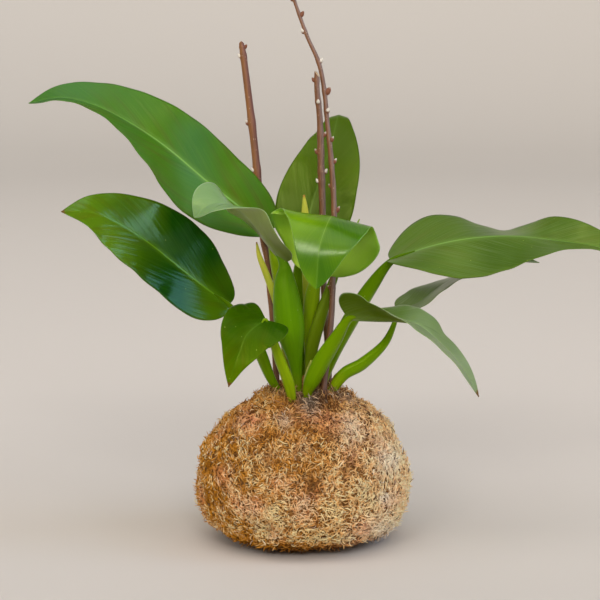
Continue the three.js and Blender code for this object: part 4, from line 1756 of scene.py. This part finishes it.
@dataclass
class CrownScraps:
    """What stands dried between the stalks: old sheaths, flakes of bark and one pale scale leaf."""

    sheaths: tuple[Scrap, ...] = (
        Scrap(((19, -3, 106), (20, -3, 112), (23, -4, 118), (27, -5, 123)),
              (0.2, -1, 0.1), (2, 4.5, 4, 0.8), 120),
        Scrap(((0, -9, 106), (-1, -10, 113), (0, -11, 120)), (0, -1, 0.2), (3, 4, 1), 100),
        Scrap(((5, -10, 106), (5, -12, 111), (7, -13, 117)), (0.3, -1, 0.2), (3, 3.6, 0.8), 140),
        Scrap(((-14, -4, 104), (-16, -6, 110), (-17, -6, 116)), (-0.3, -1, 0.2), (3, 3.4, 0.8), 110),
        Scrap(((24, -2, 103), (27, -4, 108), (31, -5, 110)), (0.2, -1, 0.3), (2, 3, 0.6), 120),
    )
    flakes: tuple[Scrap, ...] = (
        Scrap(((15, -20, 99), (15.5, -20.5, 105), (16, -20, 112)), (0.3, -1, 0), (1.6, 3.4, 0.8), 150),
        Scrap(((11.5, -18, 97), (11, -18.5, 104), (11.5, -18, 109)), (-0.8, -0.6, 0), (1.4, 2.6, 0.6), 120),
    )
    scale_path: Rows = ((2, -9, 104), (2.5, -11, 114), (3.5, -12, 122), (5, -12, 131))
    scale_girth: Row = (2.4, 3.2, 2.6, 0.6)
    scale_rings: int = 24

    def build(self) -> None:
        """Makes the scraps and the scale leaf, each kind as one piece."""
        sheath = MatFinish("dried leaf sheath", dark="#7a4a20", light="#c08a4e", crumb=1.2, depth=0.2)
        flake = MatFinish("peeling bark", dark="#3a241c", light="#77513c", crumb=0.9, depth=0.2)
        sheath_skins = [scrap.skin() for scrap in self.sheaths]
        flake_skins = [scrap.skin() for scrap in self.flakes]
        make_piece("dried_sheaths", sheath_skins, [sheath.material()])
        make_piece("bark_flakes", flake_skins, [flake.material()])
        shares = np.linspace(0, 1, self.scale_rings)
        rings, marks = stem_rings(self.scale_path, self.scale_girth, (0, 1, 0.1), ROLLED_LEAF, shares)
        pale = StalkFinish("pale scale leaf", foot="#d8cc98", middle="#c9c684", top="#b4bc58",
                           streak="#a09a5a")
        make_piece("scale_leaf", [tube_skin(rings, marks)], [pale.material()])


# The studio


@dataclass(frozen=True)
class Lamp:
    """A wide soft light far away: the way it comes from, its spread in degrees, and strength."""

    name: str
    way: Row
    spread: float
    strength: float
    tint: str


@dataclass
class Studio:
    """Floor, light and camera, none of them part of the object."""

    target: Row = (-2.8, 0.0, 171.6)
    distance: float = 1500.0
    elevation: float = 8.0
    pixels_per_mm: float = 1 / 0.7
    floor_reach: float = 9000.0
    floor_flat: float = 3200.0
    floor_rise: float = 3600.0
    floor_curve: float = 1.2
    ring_curve: float = 1.5
    floor_rings: int = 60
    floor_sides: int = 96
    sight: float = 60.0
    lamps: tuple[Lamp, ...] = (
        Lamp("sky above", (-0.1, -0.3, 1), 50, 0.5, "#edf2ff"),
        Lamp("wall behind", (-0.05, 0.86, 0.5), 70, 0.4, "#f4f2ea"),
        Lamp("front above", (-0.1, -0.6, 0.75), 70, 0.8, "#fffaf4"),
        Lamp("front window", (0.095, -0.9, 0.42), 19, 1.0, "#fdfaf8"),
        Lamp("front left window", (-0.35, -0.86, 0.37), 19, 1.0, "#fdfaf8"),
        Lamp("right window", (0.65, -0.61, 0.455), 13, 0.18, "#dcebff"),
        Lamp("side window", (0.81, -0.2, 0.545), 28, 0.6, "#b4d6ff"),
        Lamp("front low", (0.2, -1, 0.25), 70, 0.85, "#fff8ee"),
    )
    room: str = "#f1e6d6"
    room_strength: float = 0.24

    def build_floor(self) -> None:
        """A wide round floor that is flat round the object and rises softly far away from it.

        Its height is the rise times the 1.2th power of the smooth step from the flat's edge
        outward, and the rings lie closer near the object by the 1.5th power of their share.
        """
        radius = np.linspace(0, 1, self.floor_rings)[1:] ** self.ring_curve * self.floor_reach
        angle = np.linspace(0, 2 * np.pi, self.floor_sides, endpoint=False)
        radius, angle = np.meshgrid(radius, angle, indexing="ij")
        rise = smooth(self.floor_flat, self.floor_reach, radius) ** self.floor_curve
        height = self.floor_rise * rise
        rings = np.stack([radius * np.cos(angle), radius * np.sin(angle), height], -1)
        rows, sides, _ = rings.shape
        i, j = np.meshgrid(np.arange(rows - 1), np.arange(sides), indexing="ij")
        k = (j + 1) % sides
        quads = np.stack([i * sides + j, (i + 1) * sides + j, (i + 1) * sides + k, i * sides + k], -1)
        middle = np.stack([np.full(sides, rows * sides), j[0], k[0]], -1)
        points = np.vstack([rings.reshape(-1, 3), [[0, 0, 0]]]) * MM
        mesh = bpy.data.meshes.new("studio_floor")
        mesh.from_pydata(points.tolist(), [], quads.reshape(-1, 4).tolist() + middle.tolist())
        mesh.polygons.foreach_set("use_smooth", np.ones(len(mesh.polygons), bool))
        mesh.materials.append(FloorFinish("painted board").material())
        floor = bpy.data.objects.new("studio_floor", mesh)
        bpy.context.scene.collection.objects.link(floor)

    def build_lights(self) -> None:
        """Large soft lights, an even pale room round them, and plain colours in the picture."""
        for lamp in self.lamps:
            data = bpy.data.lights.new(lamp.name, "SUN")
            data.angle = np.radians(lamp.spread)
            data.energy = lamp.strength
            data.color = colour(lamp.tint)[:3]
            light = bpy.data.objects.new(lamp.name, data)
            light.location = Vector(lamp.way)
            light.rotation_mode = "QUATERNION"
            light.rotation_quaternion = self.facing(-Vector(lamp.way))
            bpy.context.scene.collection.objects.link(light)
        world = bpy.data.worlds.new("pale room")
        world.use_nodes = True
        surround = world.node_tree.nodes["Background"].inputs
        surround["Color"].default_value = colour(self.room)
        surround["Strength"].default_value = self.room_strength
        bpy.context.scene.world = world
        bpy.context.scene.view_settings.view_transform = "Standard"

    def facing(self, way: Vector) -> Quaternion:
        """The turn that points a light's or camera's -Z along a direction, with Y upward."""
        return way.to_track_quat("-Z", "Y")

    def build_camera(self) -> None:
        """The camera at the photograph's angle: square frame, from the front and a little above."""
        data = bpy.data.cameras.new("camera")
        data.angle = 2 * np.arctan(PICTURE_PIXELS / 2 / (self.distance * self.pixels_per_mm))
        data.clip_end = self.sight
        camera = bpy.data.objects.new("camera", data)
        tilt = np.radians(self.elevation)
        back = Vector((0, -np.cos(tilt), np.sin(tilt)))
        camera.location = (Vector(self.target) + back * self.distance) * MM
        camera.rotation_mode = "QUATERNION"
        camera.rotation_quaternion = self.facing(-back)
        bpy.context.scene.collection.objects.link(camera)
        bpy.context.scene.camera = camera

    def build(self) -> None:
        """Makes the floor, the lights and the camera."""
        self.build_floor()
        self.build_lights()
        self.build_camera()


# This plant's leaves, young leaves and twigs


# A leaf of some age, full grown: deep satin green with bronze streaks; its bluish deep green, on the darker
# lower half, is a painted sheen
LONG_LEAF = BladeFinish(
    "long mature leaf", face="#487400", deep="#3c7036", light="#6c983c", bronze="#545814",
    bronze_share=0.75, streak_share=0.26, gloss=0.3,
)
# Thick smooth wax on dark tissue: near black green with clear window glints; its lighter green towards the
# tip and at the base is painted light
DARK_LEAF = BladeFinish(
    "dark glossy leaf", face="#587a04", deep="#103c02", light="#44720c", bronze="#5c6000",
    bronze_share=0.5, rib="#6c9a20", rib_share=0.6, speck_share=0.35, gloss=0.16, density=1.45,
    tip_start=0.975, wax="#b8f4d4", wave_depth=0.35, vein_relief=0.12,
)
# An old small leaf with a dried tip: dull dark green, specked
SMALL_LEAF = BladeFinish(
    "small dark leaf", face="#5a7800", deep="#264c00", light="#6c8a10", bronze="#664c00",
    bronze_share=0.5, rib="#5f8a24", rib_share=0.3, speck_share=0.6, speck_size=0.08, speck_step=6.0,
    tip_start=0.95, gloss=0.3, density=1.34, wax="#c8e050",
)
# A leaf not long unfolded: bright, glossy, and glowing a little where it is thin; its bright under colour
# is painted light, the glow through the blade where its underside shows
FRESH_LEAF = BladeFinish(
    "fresh bright leaf", face="#7ca404", deep="#3c6c00", light="#84b020", under="#487400",
    under_light="#c4f050", rib="#a2c850", rib_share=0.4, gloss=0.19, under_gloss=0.36,
    light_through=0.5, margin="#9cc070", density=1.42, wax="#e8f2d0",
)
# A leaf behind the others: dull olive green
BACK_LEAF = BladeFinish(
    "shaded leaf", face="#4e680c", deep="#40580c", light="#5f7a2c", bronze="#585e1c",
    bronze_share=0.4, rib="#6a8a3c", rib_share=0.35, density=1.3,
)
# A folded leaf: pale grey green, satin; the pale grey of its face is a painted sheen of light on its wax,
# and it is darker at the base by painted shade
FOLDED_LEAF = BladeFinish(
    "pale folded leaf", face="#7c9c66", deep="#6c8c58", light="#94b082", under="#505c14",
    under_light="#96a562", rib="#a4bc90", rib_share=0.15, margin="#b4c8a0", margin_share=0.7,
)
# A broad full-grown leaf: middle green with light streaks along its veins
RIGHT_LEAF = BladeFinish(
    "broad mature leaf", face="#5a7628", deep="#3e5c12", light="#90a272", bronze="#626a26",
    bronze_share=0.45, rib="#80a850", streak_share=0.3, speck_share=0.4, gloss=0.34,
)
# A curved leaf: greyish olive above, a painted sheen of light that grows towards the tip, and deep green
# below
CURVED_LEAF = BladeFinish(
    "olive curved leaf", face="#82966c", deep="#527020", light="#98a880", under="#4c6400",
    under_light="#5a7200", rib="#a3bb86", margin="#a9bc92", margin_share=0.6, tip_start=0.97,
)
# A narrow leaf: dark green with pale streaks, its greyish face a painted sheen of light
HOOKED_LEAF = BladeFinish(
    "dark hooked leaf", face="#6c8644", deep="#586e30", light="#b4c49c", under="#74843c",
    under_light="#86964c", rib="#8a9c74", rib_share=0.3, streak_share=0.5,
)
# Stalks of living tissue, from fresh green to the yellow green of older ones
GREEN_STALK = StalkFinish("bright green stalk")
LIME_STALK = StalkFinish(
    "lime-green stalk", foot="#a8b410", middle="#6a9000", top="#6a8c00", streak="#567a0a",
)
YELLOW_STALK = StalkFinish(
    "yellow-green stalk", foot="#a8b41e", middle="#8aa80a", top="#7a9c14", streak="#66880a",
)
OLIVE_STALK = StalkFinish(
    "olive-green stalk", foot="#a8b410", middle="#6e9602", top="#446604", streak="#567a0a",
)


def leaves() -> list[Leaf]:
    """The plant's nine leaves, in millimetres, as the solids have them.

    Returns:
        The leaves.
    """
    return [
        Leaf(
            "leaf_upper_left", LONG_LEAF, YELLOW_STALK,
            stalk=((-7, 4, 90), (-7, 5, 108), (-9, 5, 139), (-15, 6, 174), (-20, 8, 197), (-25, 10, 218)),
            girth=(2.2, 2.6, 4.6, 5.2, 4.2, 2.4), back=(0.2, 0.7, 0.6),
            rib=((-25, 10, 218), (-44, 1, 236), (-68, -6, 256), (-92, -10, 277), (-116, -12, 294),
                 (-141, -12, 307), (-166, -8, 313), (-190, -2, 309)),
            up=((0.1, -0.7, 0.6), (0, -0.8, 0.6), (0, -0.8, 0.6), (-0.1, -0.8, 0.6), (-0.25, -0.7, 0.65),
                (-0.3, -0.6, 0.75), (-0.35, -0.6, 0.75)),
            half=31, peak=0.36, tip=0.95, lobe=0.1,
            left=(0.65, 0.85, 1.05, 1.1, 0.85, 0.95, 1), right=(1.05, 0.95, 0.95, 0.95, 0.95, 1, 1.1),
            fold_left=(58, 4, 36, 44, 16), fold_right=(12, 4, 8, 6, 24), marks_seed=1,
            painted_light_side=0.2, painted_light_tip=-0.2,
        ),
        Leaf(
            "leaf_mid_left", DARK_LEAF, OLIVE_STALK,
            stalk=((-13, -7, 90), (-17, -8, 106), (-24, -12, 120), (-32, -18, 141),
                   (-42, -22, 159), (-52, -24, 172)),
            girth=(2.2, 2.8, 4.2, 5.2, 3.8, 2.2), back=(0.4, 0.5, 0.8),
            rib=((-52, -24, 172), (-69, -28, 185), (-88, -32, 201), (-107, -37, 217), (-126, -42, 230),
                 (-144, -48, 238), (-163, -54, 239)),
            up=((-0.1, -0.7, 0.7), (-0.1, -0.7, 0.7), (-0.1, -0.6, 0.8)),
            half=29, peak=0.36, tip=0.9, lobe=0.1,
            left=(0.8, 1, 0.95, 1.05, 1.1, 1.15, 1.2), right=(0.85, 0.95, 1.1, 1.1, 1.05, 1.05, 1),
            fold_left=(2, 4, 10, -4, 0), fold_right=(-8, 4, 12, 14, 10), marks_seed=2,
            patchiness=0.35, painted_light_side=-0.15, painted_light_tip=3.0, painted_light_from=0.6, painted_light_base=1.7,
        ),
        Leaf(
            "leaf_front_left", FOLDED_LEAF, GREEN_STALK,
            stalk=((-3, -8, 90), (-4, -9, 108), (-6, -12, 130), (-10, -15, 156), (-13, -14, 183),
                   (-14, -12, 198)),
            girth=(2.2, 2.8, 5, 10.5, 8.2, 3.6), back=(-0.1, 1, 0.15),
            rib=((-14, -12, 200), (-25, -24, 216), (-34, -34, 229), (-43, -44, 239), (-53, -50, 244),
                 (-64, -53, 243), (-74, -53, 235)),
            up=((0.35, 0.75, 0.55), (0.3, 0.7, 0.6), (0.15, 0.5, 0.8), (0, 0, 1), (-0.1, -0.45, 0.8),
                (-0.1, -0.6, 0.6), (-0.1, -0.65, 0.5)),
            half=20, peak=0.4, tip=0.8, lobe=0.08,
            left=(0.85, 0.85, 0.8, 0.9, 0.95, 0.9, 0.95), right=(1, 0.95, 0.9, 0.95, 1.15, 1.5, 1.25),
            fold_left=(14, -20, 8, 22, 14), fold_right=(34, 36, 8, 8, 48), marks_seed=3,
            patchiness=0.3, painted_light_tip=3.0, painted_light_from=0.2,
        ),
        Leaf(
            "leaf_front_centre", FRESH_LEAF, YELLOW_STALK,
            stalk=((5, 1, 90), (5, 1, 112), (5, 2, 133), (5, 1, 154), (6, -4, 176), (10, -12, 195)),
            girth=(2.2, 2.8, 4.6, 5.6, 5.2, 2.4), back=(0, 1, 0.15),
            rib=((10, -12, 195), (14, -16, 210), (17, -22, 224), (19, -33, 234), (15, -50, 229),
                 (10, -60, 214), (8, -64, 188)),
            up=((0, 0.95, 0.2), (0, 0.9, 0.3), (0.05, 0.7, 0.7), (0.1, 0, 1), (0.1, -0.8, 0.6),
                (0, -1, 0.2), (0, -1, 0.1)),
            half=35, peak=0.42, tip=0.75, lobe=0.2,
            left=(1, 1.05, 1.1, 0.85, 0.9, 1, 1), right=(0.9, 0.9, 1.1, 1.2, 1, 0.85, 1.05),
            fold_left=(12, -12, -10, 12, 4), fold_right=(10, 6, -2, 0, 6), marks_seed=4,
            painted_light_side=0.36, painted_light_tip=-0.7,
        ),
        Leaf(
            "leaf_small_left", SMALL_LEAF, YELLOW_STALK,
            stalk=((-6, -16, 90), (-8, -22, 103), (-11, -28, 119), (-17, -34, 136),
                   (-22, -40, 152), (-26, -44, 164)),
            girth=(2.2, 3.2, 4.8, 4.4, 3.2, 1.8), back=(0.5, 0.5, 0.8),
            rib=((-26, -44, 164), (-32, -49, 161), (-39, -54, 155), (-43, -58, 146), (-47, -61, 135),
                 (-51, -62, 121)),
            up=((0, -0.8, 0.6), (0, -0.9, 0.4), (0, -1, 0.2), (0, -1, 0.1)),
            half=24, peak=0.22, tip=0.95, lobe=0.22,
            left=(0.8, 0.85, 0.85, 0.9, 0.85, 0.75, 0.75), right=(1, 0.9, 0.95, 0.9, 0.85, 0.85, 0.85),
            fold_left=(10, 12, 12, 14, 12), fold_right=(-14, -8, 16, 12, 12), marks_seed=5,
            patchiness=0.5, painted_light_tip=1.2,
        ),
        Leaf(
            "leaf_back", BACK_LEAF, OLIVE_STALK,
            stalk=((-2, 9, 90), (-2, 12, 109), (-2, 15, 134), (-2, 18, 157), (-4, 21, 183), (0, 23, 211)),
            girth=(2.2, 2.6, 4.4, 5.6, 4.6, 2.4), back=(-0.2, -0.9, 0.2),
            rib=((0, 23, 211), (5, 29, 233), (10, 34, 250), (16, 41, 267), (21, 51, 283), (25, 66, 297),
                 (28, 86, 291)),
            up=((0, -1, 0.2), (0, -1, 0.25), (0, -0.95, 0.35), (0, -0.8, 0.6), (0, -0.4, 1), (0, 0.2, 1)),
            half=29, peak=0.33, tip=0.95, lobe=0.1,
            left=(1, 0.95, 0.85, 0.75, 0.7, 0.6, 0.55), right=(1.15, 1.1, 1, 0.95, 0.85, 0.65, 0.55),
            fold_left=(6, 6, 6, -14, -20), fold_right=(6, 6, 6, -12, -20), marks_seed=6,
        ),
        Leaf(
            "leaf_upper_right", RIGHT_LEAF, OLIVE_STALK,
            stalk=((11, 3, 90), (14, 4, 112), (21, 4, 134), (32, 3, 156), (47, 1, 181), (61, -1, 199)),
            girth=(2.2, 3, 5.6, 6.6, 5.6, 2.8), back=(-0.4, 0.8, 0.4),
            rib=((61, -1, 200), (88, -5, 210), (115, -9, 216), (144, -12, 218), (174, -14, 215),
                 (205, -14, 210), (234, -12, 200)),
            up=((-0.2, -0.7, 0.7), (-0.1, -0.65, 0.75), (0, -0.6, 0.8), (0, -0.6, 0.8), (0, -0.55, 0.8)),
            half=30, peak=0.36, tip=0.95, lobe=0.1,
            left=(1, 1.2, 1, 0.95, 0.9, 0.9, 1), right=(0.85, 1, 1.15, 1.1, 0.95, 0.95, 1),
            fold_left=(-22, -8, -34, 32, 10), fold_right=(52, 2, -4, 32, 20), marks_seed=7,
        ),
        Leaf(
            "leaf_mid_right", CURVED_LEAF, LIME_STALK,
            stalk=((2, -15, 90), (2, -18, 107), (6, -22, 119), (13, -26, 134), (22, -29, 149),
                   (31, -32, 163)),
            girth=(2.2, 3.4, 6, 6.6, 5.2, 3), back=(-0.3, 0.8, 0.4),
            rib=((31, -32, 163), (50, -44, 164), (64, -54, 165), (77, -60, 163), (90, -64, 153),
                 (104, -64, 138), (118, -60, 114)),
            up=((0, 0.3, 1), (0, 0.2, 1), (0.1, 0, 1), (0.2, -0.2, 1), (0.4, -0.3, 0.8), (0.6, -0.4, 0.6),
                (0.7, -0.4, 0.4)),
            half=22, peak=0.35, tip=0.85, lobe=0.2,
            left=(1, 1, 1.05, 0.9, 0.9, 1.05, 1.2), right=(1.15, 1.2, 1.05, 0.95, 0.95, 1, 1),
            fold_left=(20, 28, 14, 0, 22), fold_right=(68, 36, 14, 14, 12), marks_seed=8,
            patchiness=0.4, painted_light_tip=2.4, painted_light_from=0.6,
        ),
        Leaf(
            "leaf_lower_right", HOOKED_LEAF, OLIVE_STALK,
            stalk=((13, -6, 90), (19, -7, 107), (28, -6, 120), (41, -3, 127), (56, 1, 140),
                   (63, 4, 153), (66, 7, 164)),
            girth=(2.2, 3.6, 5.2, 5.2, 3.6, 2.2, 1.6), back=(-0.3, 0.7, 0.5),
            rib=((66, 7, 164), (80, 11, 168), (93, 15, 177), (108, 18, 186), (128, 21, 193), (147, 23, 198),
                 (167, 24, 195)),
            up=((-0.3, -0.1, 1), (-0.2, -0.1, 1), (0, -0.1, 1)),
            half=20, peak=0.38, tip=0.95, lobe=0.08,
            left=(1, 1, 0.95, 0.95, 1, 1, 1), right=(1, 1, 1, 1, 1, 1, 1),
            fold_left=(26, 16, -10, 24, 24), fold_right=(-10, 6, 6, -4, -6), marks_seed=9,
        ),
    ]


def young_leaves() -> list[YoungLeaf]:
    """The three young leaves still rolled up.

    Returns:
        The young leaves.
    """
    pale = StalkFinish("pale rolled leaf", foot="#d0c878", middle="#adb838", top="#ccc850",
                       streak="#8f9c34", tip_start=0.965)
    green = StalkFinish("green rolled leaf", foot="#b5b04a", middle="#5c7208", top="#7c9828",
                        streak="#5c7010")
    return [
        YoungLeaf(
            "young_leaf_left", pale,
            stalk=((-10, -2, 90), (-11, -1, 109), (-15, -1, 151), (-20, -2, 173), (-26, -3, 190),
                   (-31, -4, 203), (-33, -5, 213)),
            girth=(2, 2.2, 2.8, 3, 2.8, 2, 0.5), back=(0.3, 1, 0.3),
        ),
        YoungLeaf(
            "young_leaf_centre", pale,
            stalk=((5, 8, 90), (4, 10, 110), (4, 11, 142), (3, 10, 178), (2, 8, 210), (1, 5, 231),
                   (0, 4, 245)),
            girth=(2, 2.2, 3.4, 4, 3.6, 2.9, 0.7), back=(0, 1, 0.1),
        ),
        YoungLeaf(
            "young_leaf_right", green,
            stalk=((5, -6, 90), (4, -8, 110), (5, -9, 136), (11, -7, 159), (20, 1, 184), (30, 8, 208),
                   (39, 14, 227)),
            girth=(2, 2.6, 4.6, 4.8, 3.4, 2.2, 0.5), back=(-0.3, 1, 0.1),
        ),
    ]


def twigs() -> list[Twig]:
    """The three budded twigs.

    Returns:
        The twigs.
    """
    bark = BarkFinish("smooth dark bark")
    # Its cool colour is painted cool light on the twig's right-hand side
    tan_bark = BarkFinish("smooth tan bark", warm="#8e5c2a", cool_light_side="#744a44", dark="#583424")
    bud = BudFinish("silvery haired bud")
    wood = MatFinish("pale cut wood", dark="#b99a70", light="#d9c4a2", crumb=0.4, depth=0.05)
    return [
        Twig(
            "twig_left", tan_bark, bud, wood,
            stalk=((-20, 5, 72), (-19, 5, 103), (-22, 10, 156), (-24, 13, 177), (-25, 16, 195),
                   (-29, 18, 215),
                   (-32, 19, 250), (-36, 20, 289), (-42, 22, 338), (-44, 23, 351)),
            girth=(2, 2.2, 2.2, 2.3, 2.4, 2.5, 2.6, 2.6, 2.3, 1.6),
            buds=((0.7, 200, 2.6), (0.79, 180, 3), (0.9, 185, 2.6), (0.95, 0, 2.6)), dome=0.02,
        ),
        Twig(
            "twig_long", bark, bud, wood,
            stalk=((14, -20, 72), (13, -17, 102), (19, -11, 161), (20, -5, 192), (21, 2, 232), (19, 6, 268),
                   (16, 8, 297), (14, 10, 318), (10, 12, 337), (2, 15, 355), (-7, 18, 380), (-12, 20, 395)),
            girth=(2, 2.2, 2.1, 1.9, 1.8, 1.8, 1.6, 1.6, 1.5, 1.3, 1.1, 0.8),
            buds=((0.24, 180, 2.2), (0.27, 0, 2.4), (0.37, 0, 3.4), (0.41, 180, 2.2), (0.455, 0, 3),
                  (0.5, 330, 3), (0.57, 300, 3), (0.63, 0, 4.4), (0.73, 0, 3), (0.83, 180, 3),
                  (0.87, 0, 3.4), (0.91, 180, 2.6)),
        ),
        Twig(
            "twig_middle", bark, bud, wood,
            stalk=((19, 14, 72), (18, 14, 106), (16, 14, 152), (14, 13, 179), (13, 11, 233), (12, 9, 262),
                   (11, 6, 297), (9, 4, 318), (9, 3, 336)),
            girth=(2, 2.2, 2.2, 2.2, 2.3, 2.4, 2.1, 1.9, 1.7),
            buds=((0.24, 330, 2.2), (0.59, 190, 2.6), (0.62, 0, 3), (0.67, 180, 3), (0.71, 0, 3),
                  (0.82, 270, 2.6), (0.92, 180, 2.6)),
            cut_point=(9, 3, 329), cut_lean=(0.75, -0.3, 0.6),
        ),
    ]


def dress_inner_nodes() -> None:
    """Gives the soil ball and the crown, which stay as their solids are, their own materials."""
    soil = MatFinish("half-dry peat soil", dark="#1d130b", light="#4a3523", crumb=2.4).material()
    crown = MatFinish("firm crown tissue", dark="#5e4a26", light="#9a8850", crumb=2.0).material()
    for name, material in (("soil_ball", soil), ("plant_crown", crown)):
        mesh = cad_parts[name].data
        mesh.materials.clear()
        mesh.materials.append(material)
        LOG.info("%s: new material", name)


def main() -> None:
    grown = leaves()
    rolled = young_leaves()
    cut = twigs()
    for piece in [*grown, *rolled, *cut]:
        piece.build()
    stems = [(piece.stalk, piece.girth) for piece in [*grown, *rolled, *cut]]
    MossBall(stems=stems).build()
    CrownScraps().build()
    dress_inner_nodes()
    Studio().build()


if __name__ == "__main__":
    main()
